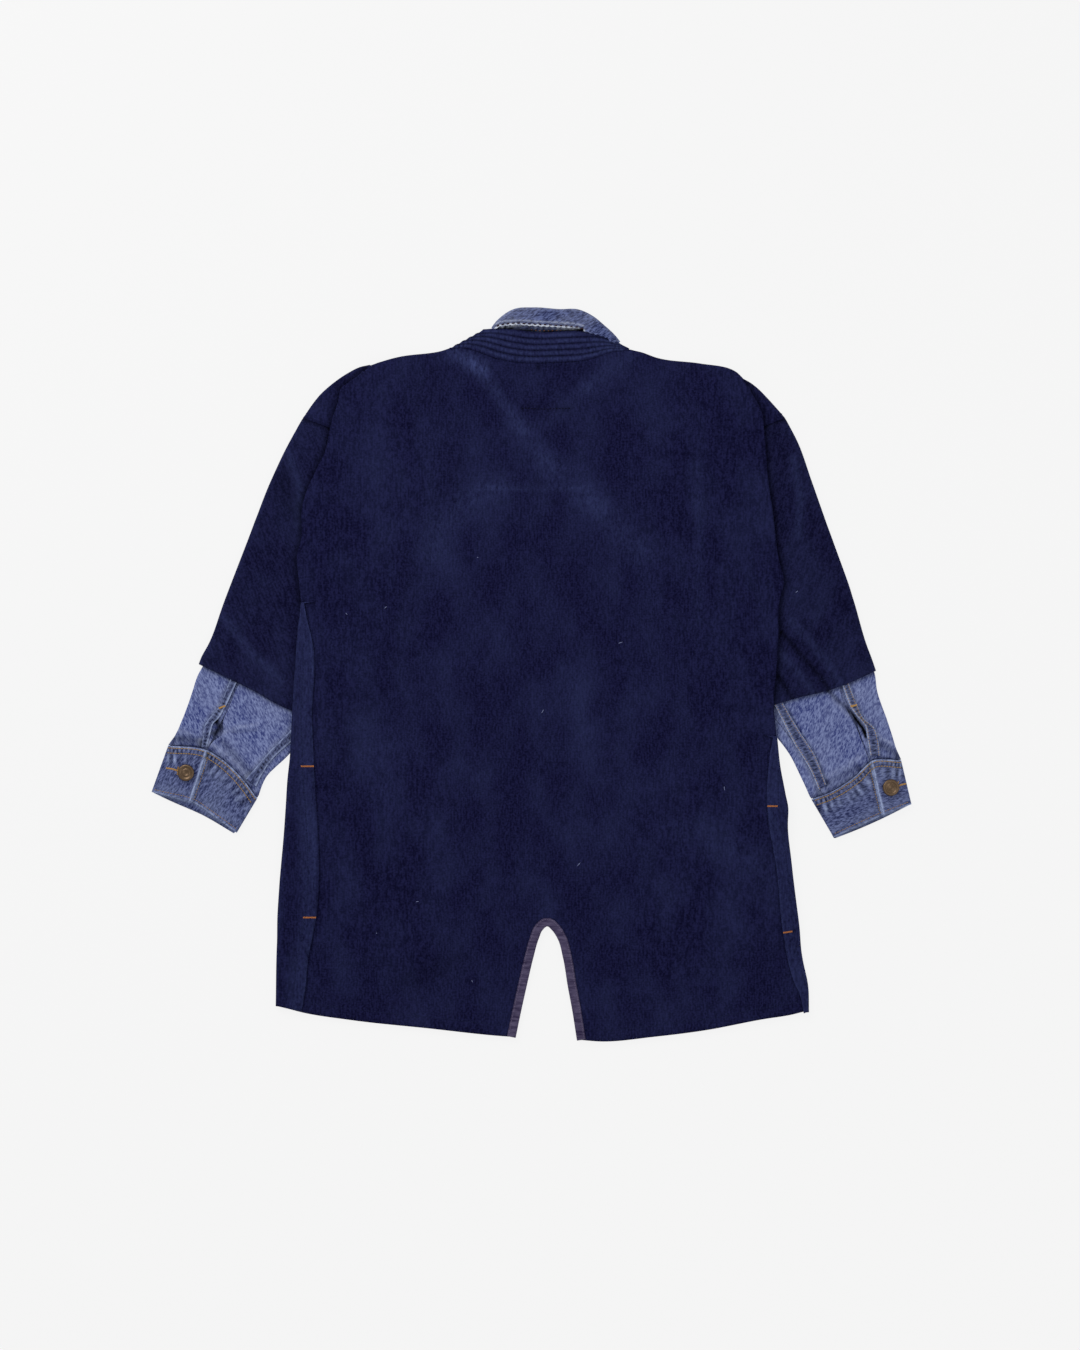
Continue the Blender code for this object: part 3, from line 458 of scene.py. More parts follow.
RIGHT = Side(
    name="right",
    out=1,
    underarm=-67,
    fold=((264, -67), (261, -27), (264, 5), (266, 40), (267, 77), (272, 101), (267, 121), (260, 176),
          (255, 210), (251, 261), (248, 283), (243, 293), (237.5, 303), (233, 315.5)),
    side_edge=((299.5, -364.5), (298.6, -336), (293, -309), (287, -266), (279, -201), (275, -160),
               (276, -142), (274, -130), (268, -98), (264.8, -67.3)),
    side_seam=((293.5, -365.5), (288.5, -343), (283, -332), (278, -315), (270.5, -275), (264, -210),
               (254.5, -151), (254, -116), (257, -84), (260, -68)),
    shoulder_edge=((228, 319), (237, 314), (244, 308.5), (254, 298.5), (264, 287.5), (271, 279.5),
                   (274, 276)),
    shoulder_hidden=((212, 310), (209, 290), (204, 268), (201, 247)),
    sleeve_outer=((274, 276), (288, 249), (302, 210), (325, 145), (348, 80), (362, 32), (368, 16),
                  (372, 4)),
    sleeve_inner=((154, 228), (180, 137), (206, 47), (231, -43)),
    armhole=((274, 276), (251, 267), (201, 247), (154, 228)),
    sleeve_hem=((372, 4), (348, -7), (322, -17), (289, -25), (262, -33), (231, -43)),
    denim_outer=((346, 58), (361, 22), (370, 2), (373, -17), (384, -49), (395, -82), (399, -92.5)),
    denim_inner=((221, 20), (229, -15), (243, -41), (263, -66), (279, -88), (290, -110),
                 (301.5, -134.5)),
    denim_seams=((0.27, 0.31), (0.93, 0.88)),
    placket=(((329, 4), (336, -14), (344, -35), (351, -45), (360, -56), (362, -67), (365, -88)),
             ((338, 2), (345, -17), (351, -32), (358, -47), (370, -58), (374, -71), (376, -88))),
    placket_tack=((343, -35), (351, -33)),
    slit=(0.56, 0.22, 3.4),
    felled=(((252, -14), (266, -41), (284, -76), (300, -102), (310, -125)),
            ((260, -10), (273, -34), (290, -63), (305, -86), (318, -119))),
    cuff_top=((399, -93), (368, -93), (348, -111), (323, -127), (302, -135)),
    cuff_edge=((410, -140), (379, -152), (350, -165), (326, -176)),
    cuff_under_edge=((410, -140), (376, -157), (346, -170), (325, -178)),
    cuff_lap=(0.30, 0.36),
    button=(387, -122),
    buttonhole=((404, -118), (399, -119), (394, -121)),
    front_top=((219, 305), (206, 314), (182, 320.5), (134, 328.5), (117, 333.5), (97, 336)),
    front_edge=((95.5, -389), (95.5, 0), (95.5, 200), (97, 290), (97, 336)),
    band_edge=((61.5, -389), (61.5, 0), (61.5, 200), (62, 290), (66, 332)),
    pocket=((260, -170), (268, -262), (150, -300), (140, -135)),
    bar_tacks=(((253, -142), (265, -142)), ((267, -279), (281, -277))),
    lower=11 / 26,
    grain=17.0,
    sleeve_folds=(Mark(((269, 46), (292, 20), (314, -6), (321, -19)), 3.4, -1.1),
                  Mark(((280, 58), (304, 30), (325, 4), (332, -10)), 7.0, 0.8),
                  Mark(((262, 30), (286, 4), (303, -18)), 7.0, 0.5),
                  Mark(((265, -1), (273, -13), (281, -26)), 3.0, -0.8),
                  Mark(((282, 232), (290, 190), (288, 150)), 12.0, 0.5)),
    denim_folds=(Mark(((319, -17), (345, -42), (359, -63)), 3.5, -0.8),
                 Mark(((330, -50), (348, -68), (356, -84)), 6.0, 0.6),
                 Mark(((380, -70), (396, -84)), 4.0, -0.8),
                 Mark(((318, -118), (330, -112), (346, -102)), 4.0, -0.5)),
    # Painted shade on the denim: in its folds, in the slit and beside the raised seams.
    denim_painted_shade=(Mark(((319, -17), (345, -42), (359, -63)), 2.6, 0.55),
                Mark(((342.5, -39), (349, -47.5), (357.5, -58), (360.5, -68)), 1.5, 0.95),
                Mark(((378, -76), (398, -88)), 4.5, 0.45),
                Mark(((318, -118), (334, -109), (352, -99)), 3.4, 0.3),
                Mark(((276, -38), (292, -66), (308, -92), (320, -118)), 1.8, 0.3)),
    denim_pale=(Mark(((368, -58), (378, -70), (396, -78)), 1.8, 0.5),
                Mark(((322, -108), (338, -100), (356, -88)), 2.4, 0.35),
                Mark(((324, -26), (342, -46)), 2.0, 0.25)),
)
SIDES = (LEFT, RIGHT)

# Creases of the body cloth, in millimetres of rise, as soft ridges and troughs
BODY_CREASES = (
    Mark(((-240, 50), (-218, 24), (-196, -2)), 9.0, 0.9),
    Mark(((-236, 66), (-212, 36), (-188, 12)), 8.0, -0.7),
    Mark(((-219, -82), (-190, -116), (-160, -146)), 11.0, 1.0),
    Mark(((-205, -76), (-172, -112), (-140, -136)), 10.0, -0.7),
    Mark(((251, -2), (236, 12), (219, 22)), 8.0, 0.8),
    Mark(((255, -14), (238, 0), (214, 8)), 7.0, -0.6),
    Mark(((-132, -331), (-106, -318), (-79, -308)), 12.0, -0.8),
    Mark(((-70, 201), (0, 202), (70, 201), (180, 199)), 2.6, 0.35),
    Mark(((7, 213), (7, 200)), 2.0, -0.5),
    Mark(((-11, 287), (16, 286), (42, 287)), 2.4, -0.45),
    Mark(((-79, 345), (-51, 329), (-28, 289), (14, 240), (42, 212)), 7.0, 0.6),
    Mark(((106, 345), (78, 324), (58, 305), (30, 284), (9, 268)), 7.0, 0.6),
    Mark(((180, 300), (179, 180), (178, 60)), 6.0, -0.4),
)


def sleeve_outline(side: Side) -> list:
    """The plan of what a flattened sleeve and its shoulder cover."""
    return (list(side.shoulder_edge) + list(side.sleeve_outer) + list(side.sleeve_hem[1:])
            + list(side.sleeve_inner[::-1][1:]) + list(side.shoulder_hidden[::-1]))


def front_mid(plan: Grid) -> Grid:
    """Height of the middle of a front's wall: on the floor, or over what lies under it.

    Args:
        plan: Points in plan.

    Returns:
        The height at each point.
    """
    height = np.zeros(plan.shape[:-1])
    for side in SIDES:
        sleeve = SLEEVE_HIGH + SASHIKO / 2 + REST
        denim = DENIM_HIGH + DENIM / 2 + REST
        denim_outline = list(side.denim_outer) + list(side.denim_inner[::-1])
        for level, outline in ((sleeve, sleeve_outline(side)), (denim, denim_outline)):
            beyond = depth_inside(plan, outline) + REACH
            height = np.maximum(height, level * ease(1 + beyond / SPREAD))
    return FLOOR_MID + height


def back_level(plan: Grid) -> Grid:
    """Height of the middle of the back's wall before its creases.

    Args:
        plan: Points in plan.

    Returns:
        The height at each point.
    """
    height = front_mid(plan) + PLY
    for side in SIDES:
        beyond = depth_inside(plan, side.pocket) + POCKET_REACH
        height = height + POCKET_RAISE * ease(1 + beyond / POCKET_SPREAD)
    return height


def back_mid(plan: Grid) -> Grid:
    """Height of the middle of the back's wall, with its creases."""
    return back_level(plan) + total(BODY_CREASES, plan)


def flat(height: float) -> Callable[[Grid], Grid]:
    """A wall's height that is the same all over."""
    return lambda plan: np.full(plan.shape[:-1], height)


def tube(plan: Grid, under_plan: Grid, low: Callable, high: Callable, wall: float,
         counts: tuple[int, int, int]) -> tuple:
    """The four stretches of a flattened tube, and how much of each row its folds take.

    Args:
        plan: The tube's outline from above, outer edge first.
        under_plan: The same for its under side.
        low: Height of the lower wall's middle at plan points.
        high: Height of the upper wall's middle at plan points.
        wall: Thickness of the wall.
        counts: Points across the upper wall, the lower wall and each fold.

    Returns:
        The stretch on top, round the inner fold, under it and round the outer fold, then the inset.
    """
    upper_columns, lower_columns, fold_columns = counts
    radius = (high(plan).max(axis=1) - low(plan).min(axis=1)) / 2
    inset = (radius + wall / 2) / row_length(plan)
    over = span(plan, inset, 1 - inset, upper_columns)
    under = span(under_plan, 1 - inset, inset, lower_columns)
    outward = unit(over[:, 0] - over[:, 1])
    inward = unit(over[:, -1] - over[:, -2])
    inner = turn(over[:, -1], inward, low(over[:, -1]), high(over[:, -1]), fold_columns, False)
    outer = turn(over[:, 0], outward, low(over[:, 0]), high(over[:, 0]), fold_columns, True)
    return lift(over, high(over)), inner, lift(under, low(under)), outer, inset


# Colours and finishes


def linear(colour: str) -> tuple[float, float, float, float]:
    """An sRGB colour such as "#1a2b3c" as linear values with an alpha of 1.

    Args:
        colour: The colour as text.

    Returns:
        Red, green, blue and alpha.
    """
    parts = [int(colour[i:i + 2], 16) / 255 for i in (1, 3, 5)]
    parts = [c / 12.92 if c <= 0.04045 else ((c + 0.055) / 1.055) ** 2.4 for c in parts]
    return (*parts, 1.0)


def add(tree: bpy.types.NodeTree, kind: str, inputs: Optional[dict] = None,
        **settings: object) -> bpy.types.Node:
    """Adds a shader node, sets its options, and feeds its inputs with values or sockets.

    Args:
        tree: The material's node tree.
        kind: The node's type.
        inputs: A value or a socket for each input, by name or number.
        settings: The node's own options.

    Returns:
        The new node.
    """
    made = tree.nodes.new(kind)
    for key, value in settings.items():
        setattr(made, key, value)
    for key, value in (inputs or {}).items():
        if isinstance(value, bpy.types.NodeSocket):
            tree.links.new(value, made.inputs[key])
        else:
            made.inputs[key].default_value = value
    return made


# Scales of the weaves' noise, in turns per metre along each axis of the cloth. Real threads are
# about 0.5 mm to 0.8 mm thick, too fine to show from here, so they are drawn about three times as
# coarse: a sashiko warp 1.8 mm wide and 9 mm long, a denim slub 1.3 mm wide and 4 mm long
SASHIKO_WARP = (560.0, 110.0, 200.0)
SASHIKO_WEFT = (420.0, 520.0, 200.0)
DENIM_SLUB = (760.0, 260.0, 300.0)
TAPE_RIB = (90.0, 420.0, 90.0)
PLAIN_THREAD = (600.0, 600.0, 600.0)
RUBBED_GRIT = (430.0, 190.0, 300.0)
FADED_CLOUD = (26.0, 15.0, 18.0)


class Weave(Enum):
    """How a cloth's threads lie, which decides the pattern that its surface shows."""

    SASHIKO = "rice grain stitches in staggered rows"
    TWILL = "denim, with pale slubs along its warp"
    RIBBED = "ribs across a narrow tape"
    PLAIN = "plain weave"


@dataclass(frozen=True)
class ClothFinish:
    """A woven cloth: its dark and light threads, its faded tone, and the way its grain runs.

    Args:
        name: Name of the material.
        weave: How its threads lie.
        dark: Colour of its low threads.
        light: Colour of its raised threads.
        faded: Colour where it is rubbed or washed out.
        pitch: From one rice grain to the next, in millimetres.
        grain: How far its warp is turned from +Y, in degrees.
        relief: Height of its threads, in millimetres.
    """

    name: str
    weave: Weave
    dark: str
    light: str
    faded: str
    pitch: float
    grain: float = 0.0
    relief: float = 0.3

    def material(self) -> bpy.types.Material:
        """Builds the material: pattern between two threads, then fades and painted highlights, then
        painted shade.

        Returns:
            The material.
        """
        made = bpy.data.materials.get(self.name)
        if made:
            return made
        made = bpy.data.materials.new(self.name)
        made.use_nodes = True
        tree = made.node_tree
        shader = tree.nodes["Principled BSDF"]
        place = add(tree, "ShaderNodeTexCoord").outputs["Object"]
        grain = add(tree, "ShaderNodeVectorRotate", {"Vector": place, "Angle": math.radians(self.grain)},
                    rotation_type="Z_AXIS").outputs["Vector"]
        pattern = self.pattern(tree, grain)
        threads = self.mix(tree, pattern, linear(self.dark), linear(self.light))
        mottle = self.noise(tree, grain, FADED_CLOUD, 6.0)
        mottled = self.mix(tree, self.ramp(tree, mottle, 0.4, 0.8, 0.0, 0.2), threads, linear(self.faded))
        # The pale share: fading, and painted highlights on ridges and folds.
        wear_and_highlight_share = self.attribute(tree, "wear_and_highlight")
        grit = self.ramp(tree, self.noise(tree, grain, RUBBED_GRIT, 5.0), 0.34, 0.66, 0.2, 1.2)
        wear_and_highlight_share = add(tree, "ShaderNodeMath", {0: wear_and_highlight_share, 1: grit}, operation="MULTIPLY").outputs[0]
        faded = self.mix(tree, wear_and_highlight_share, mottled, linear(self.faded))
        # Painted shade: the colour is scaled by one less the shade attribute.
        shade = add(tree, "ShaderNodeMath", {0: 1.0, 1: self.attribute(tree, "shade")},
                    operation="SUBTRACT").outputs[0]
        final = add(tree, "ShaderNodeVectorMath", {0: faded, "Scale": shade},
                    operation="SCALE").outputs["Vector"]
        tree.links.new(final, shader.inputs["Base Color"])
        bump = add(tree, "ShaderNodeBump", {"Height": pattern, "Strength": 0.6,
                                            "Distance": self.relief * MM})
        tree.links.new(bump.outputs["Normal"], shader.inputs["Normal"])
        shader.inputs["Roughness"].default_value = 0.92
        shader.inputs["Specular IOR Level"].default_value = 0.04
        return made

    def pattern(self, tree: bpy.types.NodeTree, grain: bpy.types.NodeSocket) -> bpy.types.NodeSocket:
        """The weave's pattern from 0, dark and low, to 1, light and raised.

        Args:
            tree: The material's node tree.
            grain: The place, turned along the warp.

        Returns:
            The socket that carries the pattern.
        """
        turns = 2 * math.pi / (self.pitch * MM)
        parts = add(tree, "ShaderNodeSeparateXYZ", {"Vector": grain}).outputs
        if self.weave is Weave.SASHIKO:
            across = self.wave(tree, parts["X"], turns)
            along = self.wave(tree, parts["Y"], turns * 0.72)
            lattice = add(tree, "ShaderNodeMath", {0: across, 1: along}, operation="MULTIPLY").outputs[0]
            warp = self.noise(tree, grain, SASHIKO_WARP, 2.0)
            weft = self.noise(tree, grain, SASHIKO_WEFT, 2.0)
            drawn = add(tree, "ShaderNodeMath", {0: warp, 1: weft}, operation="ADD").outputs[0]
            drawn = add(tree, "ShaderNodeMath", {0: lattice, 1: 0.05, 2: drawn},
                        operation="MULTIPLY_ADD").outputs[0]
            return self.ramp(tree, drawn, 0.8, 1.22, 0.0, 1.0)
        if self.weave is Weave.TWILL:
            slub = self.noise(tree, grain, DENIM_SLUB, 2.0)
            return self.ramp(tree, slub, 0.36, 0.66, 0.0, 1.0)
        if self.weave is Weave.RIBBED:
            return self.ramp(tree, self.noise(tree, grain, TAPE_RIB, 2.0), 0.3, 0.7, 0.0, 1.0)
        return self.ramp(tree, self.noise(tree, grain, PLAIN_THREAD, 2.0), 0.3, 0.7, 0.0, 1.0)

    @staticmethod
    def wave(tree: bpy.types.NodeTree, value: bpy.types.NodeSocket, turns: float) -> bpy.types.NodeSocket:
        """cos(value * turns)."""
        angle = add(tree, "ShaderNodeMath", {0: value, 1: turns}, operation="MULTIPLY").outputs[0]
        return add(tree, "ShaderNodeMath", {0: angle}, operation="COSINE").outputs[0]

    @staticmethod
    def noise(tree: bpy.types.NodeTree, place: bpy.types.NodeSocket, scale: tuple,
              detail: float) -> bpy.types.NodeSocket:
        """Noise whose scale along each axis is in turns per metre."""
        scaled = add(tree, "ShaderNodeVectorMath", {0: place, 1: scale}, operation="MULTIPLY")
        return add(tree, "ShaderNodeTexNoise", {"Vector": scaled.outputs["Vector"], "Scale": 1.0,
                                                "Detail": detail}).outputs["Fac"]

    @staticmethod
    def ramp(tree: bpy.types.NodeTree, value: bpy.types.NodeSocket, start: float, stop: float,
             low: float, high: float) -> bpy.types.NodeSocket:
        """Maps a value from one range onto another and keeps it there."""
        return add(tree, "ShaderNodeMapRange", {"Value": value, "From Min": start, "From Max": stop,
                                                "To Min": low, "To Max": high}).outputs["Result"]

    @staticmethod
    def mix(tree: bpy.types.NodeTree, share: bpy.types.NodeSocket, first: object,
            second: object) -> bpy.types.NodeSocket:
        """Blends two colours, given as values or sockets."""
        return add(tree, "ShaderNodeMix", {0: share, 6: first, 7: second},
                   data_type="RGBA").outputs[2]

    @staticmethod
    def attribute(tree: bpy.types.NodeTree, name: str) -> bpy.types.NodeSocket:
        """The value that each point of a piece carries under a name."""
        return add(tree, "ShaderNodeAttribute", attribute_name=name).outputs["Fac"]


@dataclass(frozen=True)
class PlainFinish:
    """One even colour, of which it may give a share as its own light: thread, metal or the floor."""

    name: str
    colour: str
    roughness: float
    metallic: float = 0.0
    glow: float = 0.0

    def material(self) -> bpy.types.Material:
        """Builds the material from the shader's own values.

        Returns:
            The material.
        """
        made = bpy.data.materials.get(self.name)
        if made:
            return made
        made = bpy.data.materials.new(self.name)
        made.use_nodes = True
        shader = made.node_tree.nodes["Principled BSDF"]
        lit = [part * (1.0 - self.glow) for part in linear(self.colour)[:3]]
        shader.inputs["Base Color"].default_value = (*lit, 1.0)
        shader.inputs["Roughness"].default_value = self.roughness
        shader.inputs["Metallic"].default_value = self.metallic
        shader.inputs["Specular IOR Level"].default_value = 0.5 if self.metallic else 0.1
        shader.inputs["Emission Color"].default_value = linear(self.colour)
        shader.inputs["Emission Strength"].default_value = self.glow
        return made


# Each name is the real cloth, thread or metal; the comment says what it gives the eye.
# Deep indigo with a faint grain of warp and weft, that fades to a dusty blue
NAVY = ClothFinish("indigo_sashiko_cotton", Weave.SASHIKO, "#0c0c29", "#1e1f45", "#3f4878", 4.4)
SLEEVE_NAVY = {side.name: ClothFinish("indigo_sashiko_cotton_" + side.name, Weave.SASHIKO, "#0c0c28",
                                      "#1e1f43", "#3f4878", 4.4, side.grain) for side in SIDES}
# Mid-blue denim with pale slubs along its warp, whitened where it rubs
BLUE = {side.name: ClothFinish("stonewashed_denim_" + side.name, Weave.TWILL, "#353f7b", "#828ebd",
                               "#b4bedf", 2.2, side.grain * 1.2) for side in SIDES}
CUFF_BLUE = {side.name: ClothFinish("stonewashed_cuff_denim_" + side.name, Weave.TWILL, "#232a55",
                                    "#6d77a5", "#9fadd4", 2.2, side.grain + 55.0) for side in SIDES}
COLLAR_BLUE = ClothFinish("stonewashed_collar_denim", Weave.TWILL, "#222850", "#6671a1", "#d3daea",
                          2.2, 62.0)
# Dull purple-grey tape with uneven ribs across it
TAPE = ClothFinish("grosgrain_tape", Weave.RIBBED, "#2c2442", "#5c5470", "#6f6684", 2.0)
# Plain dark cotton that stays out of sight behind the pockets
LINING = ClothFinish("pocket_cotton_cloth", Weave.PLAIN, "#20244a", "#2c3156", "#464d78", 2.0)
# Threads: burnt orange tacks, gold over the cuffs, tan rows, and blues that almost vanish
ORANGE = PlainFinish("orange_cotton_thread", "#b57445", 0.8)
GOLD = PlainFinish("gold_cotton_thread", "#c49a5c", 0.8)
TAN = PlainFinish("tan_cotton_thread", "#ab8c5a", 0.8)
BROWN = PlainFinish("brown_cotton_thread", "#35232b", 0.8)
PALE = PlainFinish("faded_cotton_thread", "#98a2c6", 0.8)
NAVY_THREAD = PlainFinish("navy_cotton_thread", "#1d2246", 0.8)
DARK_THREAD = PlainFinish("dark_cotton_thread", "#0a0a1c", 0.8)
MAUVE = PlainFinish("mauve_cotton_thread", "#766c86", 0.8)
# Specks of pale fibre
LINT = PlainFinish("white_lint", "#7a82a8", 0.9)
# Dulled brown brass that catches a soft light on its rim
BRASS = PlainFinish("antique_brass_cast", "#6e5b49", 0.4, 1.0)
# Paper so bright that it shows almost no shadow
PAPER = PlainFinish("pale_paper_floor", "#f7f7f7", 1.0, glow=0.92)


# Objects


def mesh_object(name: str, points: Grid, faces: Sequence,
                material: bpy.types.Material) -> bpy.types.Object:
    """A smooth-shaded object at the origin, from points in millimetres.

    Args:
        name: Name of the object.
        points: Its points.
        faces: Corners of each face.
        material: Its material.

    Returns:
        The object, linked to the scene.
    """
    mesh = bpy.data.meshes.new(name)
    mesh.from_pydata((np.asarray(points) * MM).tolist(), [], [tuple(face) for face in faces])
    mesh.materials.append(material)
    mesh.shade_smooth()
    made = bpy.data.objects.new(name, mesh)
    bpy.context.scene.collection.objects.link(made)
    return made


def grid_faces(rows: int, columns: int, loop: bool, keep: Optional[Grid]) -> Grid:
    """Four corners of each face of a grid, whose last column may join its first.

    Args:
        rows: Rows of points.
        columns: Columns of points.
        loop: Whether the last column joins the first.
        keep: Which faces to return.

    Returns:
        The corners, one row for each face.
    """
    row, column = np.meshgrid(np.arange(rows - 1), np.arange(columns if loop else columns - 1),
                              indexing="ij")
    beside = (column + 1) % columns
    faces = np.stack([row * columns + column, row * columns + beside,
                      (row + 1) * columns + beside, (row + 1) * columns + column], axis=-1)
    return faces.reshape(-1, 4) if keep is None else faces[keep]


def bake(obj: bpy.types.Object) -> None:
    """Turns an object's modifiers into plain mesh.

    Args:
        obj: The object to change.
    """
    graph = bpy.context.evaluated_depsgraph_get()
    graph.update()
    made = bpy.data.meshes.new_from_object(obj.evaluated_get(graph))
    obj.modifiers.clear()
    obj.data = made


@dataclass
class Cloth:
    """One cut piece of cloth: the surface through the middle of its wall, and what it carries.

    Args:
        name: Name of the piece.
        grid: Points of its surface in millimetres, in rows and columns.
        wall: Thickness of the cloth.
        finish: Its finish.
        node: The CAD node that it stands for.
        slot: A material slot's name; not used.
        rests_on: Names of what it lies on; not used.
        loop: Whether its last column joins its first.
        keep: Which faces of the grid are cloth, where some aren't.
        wear_and_highlight: Strength of the fading and of the painted highlights at plan points.
        shade: Strength of the darkening at plan points, most of it painted shade.
        cutter: A block that is cut out of it.
    """

    name: str
    grid: Grid
    wall: float
    finish: ClothFinish
    node: str
    slot: str
    rests_on: tuple = ("floor",)
    loop: bool = False
    keep: Optional[Grid] = None
    wear_and_highlight: Optional[Callable[[Grid], Grid]] = None
    shade: Optional[Callable[[Grid], Grid]] = None
    cutter: Optional[bpy.types.Object] = None

    def build(self) -> bpy.types.Object:
        """Builds the sheet with its wall, its cuts, its faded places, and its painted highlights and
        shade.

        Returns:
            The finished piece.
        """
        rows, columns = self.grid.shape[:2]
        faces = grid_faces(rows, columns, self.loop, self.keep)
        used, faces = np.unique(faces, return_inverse=True)
        faces = faces.reshape(-1, 4)
        points = self.grid.reshape(-1, 3)[used]
        made = mesh_object(self.name, points, faces, self.finish.material())
        wall = made.modifiers.new("wall", "SOLIDIFY")
        wall.thickness = self.wall * MM
        wall.offset = 0.0
        if self.cutter:
            cut = made.modifiers.new("cut", "BOOLEAN")
            cut.operation = "DIFFERENCE"
            cut.object = self.cutter
        bake(made)
        self.dress(made)
        adopt(made, self.node)
        self.declare()
        return made

    def dress(self, made: bpy.types.Object) -> None:
        """Stores the fading with the painted highlights, and the darkening with the painted shade, on the
        points.

        Args:
            made: The piece.
        """
        places = np.empty(len(made.data.vertices) * 3)
        made.data.vertices.foreach_get("co", places)
        plan = places.reshape(-1, 3)[:, :2] / MM
        for name, amount, most in (("wear_and_highlight", self.wear_and_highlight, 2.0), ("shade", self.shade, 1.0)):
            if amount:
                stored = made.data.attributes.new(name, "FLOAT", "POINT")
                stored.data.foreach_set("value", np.clip(amount(plan), 0.0, most))

    def declare(self) -> None:
        """Measures the length of the piece's longest column, and keeps nothing of it.
        """
        grid = np.concatenate([self.grid, self.grid[:, :1]], axis=1) if self.loop else self.grid
        length = float(row_length(grid.transpose(1, 0, 2)).max()) * MM


def adopt(obj: bpy.types.Object, node: str) -> None:
    """A piece rides with the coat and stands for its CAD node, which it hides.

    Args:
        obj: The piece.
        node: Its CAD node.
    """
    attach(obj, "root")
    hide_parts(node)


def split(count: int, share: float) -> tuple[int, int]:
    """Two counts that add up to one, the first with the given share."""
    first = round(count * share)
    return first, count - first


def beside(line: Line, distance: float, count: int = 80) -> Grid:
    """A smooth line through the points, moved to its left by a distance.

    Args:
        line: Places that the line passes.
        distance: How far it is moved.
        count: Number of points to return.

    Returns:
        The moved line.
    """
    smooth = through(line, count)
    along = unit(np.gradient(smooth, axis=0))
    return smooth + np.stack([-along[:, 1], along[:, 0]], axis=1) * distance


@dataclass(frozen=True)
class StitchRow:
    """A row of stitches along a line, or across it where it is a satin bar.

    Args:
        line: The line in plan.
        pitch: From one stitch to the next.
        length: Length of a stitch.
        radius: Radius of the thread.
        satin: Whether the stitches lie across the line.
    """

    line: Line
    pitch: float = 3.6
    length: float = 2.6
    radius: float = 0.35
    satin: bool = False

    def ends(self) -> Grid:
        """Both ends of each stitch in plan.

        Returns:
            Start and end of each stitch.
        """
        line = np.array(self.line, float)
        travelled = np.concatenate([[0.0], np.cumsum(np.linalg.norm(np.diff(line, axis=0), axis=1))])
        count = max(1, int(travelled[-1] / self.pitch))
        middle = (np.arange(count) + 0.5) * travelled[-1] / count
        reach = self.length / 2

        def at(place: Grid) -> Grid:
            """Points of the line at distances along it."""
            return np.stack([np.interp(place, travelled, line[:, axis]) for axis in (0, 1)], axis=1)

        start, stop = at(middle - reach), at(middle + reach)
        if self.satin:
            along = unit(at(middle + 0.5) - at(middle - 0.5))
            across = np.stack([-along[:, 1], along[:, 0]], axis=1) * reach
            start, stop = at(middle) - across, at(middle) + across
        return np.stack([start, stop], axis=1)


@dataclass
class Sewing:
    """Stitches of one thread on one piece: each is a short rounded cylinder that lies on the cloth."""

    name: str
    thread: PlainFinish
    cloth: str
    node: str
    slot: str
    rows: Sequence[StitchRow]
    sides: int = 6

    def build(self) -> None:
        """Drops every stitch onto the cloth and joins them in one object."""
        graph = bpy.context.evaluated_depsgraph_get()
        surface = BVHTree.FromObject(bpy.data.objects[self.cloth], graph)
        points, faces = [], []
        for row in self.rows:
            ends = row.ends()
            height = self.drop(surface, ends.reshape(-1, 2)).reshape(-1, 2)
            there = np.isfinite(height).all(axis=1)
            if there.any():
                made = self.capsules(ends[there], height[there], row.radius)
                faces.append(self.capsule_faces(len(made)) + sum(len(p) for p in points))
                points.append(made.reshape(-1, 3))
        if points:
            made = mesh_object(self.name, np.concatenate(points), np.concatenate(faces),
                               self.thread.material())
            adopt(made, self.node)

    def drop(self, surface: BVHTree, places: Grid) -> Grid:
        """Height of the cloth's top at plan points, or nan beside it.

        Args:
            surface: The cloth.
            places: Plan points.

        Returns:
            The heights.
        """
        down = Vector((0.0, 0.0, -1.0))
        hits = [surface.ray_cast(Vector((x * MM, y * MM, DROP_FROM * MM)), down)[0]
                for x, y in places.tolist()]
        return np.array([hit.z / MM if hit else np.nan for hit in hits])

    def capsules(self, ends: Grid, height: Grid, radius: float) -> Grid:
        """Rings of points round each stitch, as (stitches, points, 3).

        Args:
            ends: Both ends of each stitch in plan.
            height: The cloth's height there.
            radius: Radius of the thread.

        Returns:
            Four rings of points for each stitch.
        """
        lifted = np.dstack([ends, height + 0.3 * radius])
        centre = lifted.mean(axis=1)[:, None, None]
        along = (lifted[:, 1] - lifted[:, 0])[:, None, None]
        flat_along = unit(ends[:, 1] - ends[:, 0])
        side = np.stack([-flat_along[:, 1], flat_along[:, 0], np.zeros(len(ends))], axis=1)[:, None, None]
        up = np.array([0.0, 0.0, 1.0])
        place = np.array([-0.5, -0.34, 0.34, 0.5])[None, :, None, None]
        girth = np.array([0.4, 1.0, 1.0, 0.4])[None, :, None, None] * radius
        sink = np.array([-0.5, 0.0, 0.0, -0.5])[None, :, None, None] * radius * up
        angle = np.linspace(0.0, 2 * np.pi, self.sides, endpoint=False)[None, None, :, None]
        rings = (centre + along * place + sink
                 + girth * (np.cos(angle) * side + np.sin(angle) * up))
        return rings.reshape(len(ends), -1, 3)

    def capsule_faces(self, count: int) -> Grid:
        """Faces of that many stitches: the rings' sides, with each end closed by quads.

        Args:
            count: Number of stitches.

        Returns:
            Corners of each face.
        """
        n = self.sides
        around = grid_faces(4, n, True, None)
        cap = np.array([(0, 1, 2, 3), (0, 3, 4, 5)])
        one = np.concatenate([around, cap[:, ::-1], cap + 3 * n])
        return (one[None] + (np.arange(count) * 4 * n)[:, None, None]).reshape(-1, 4)


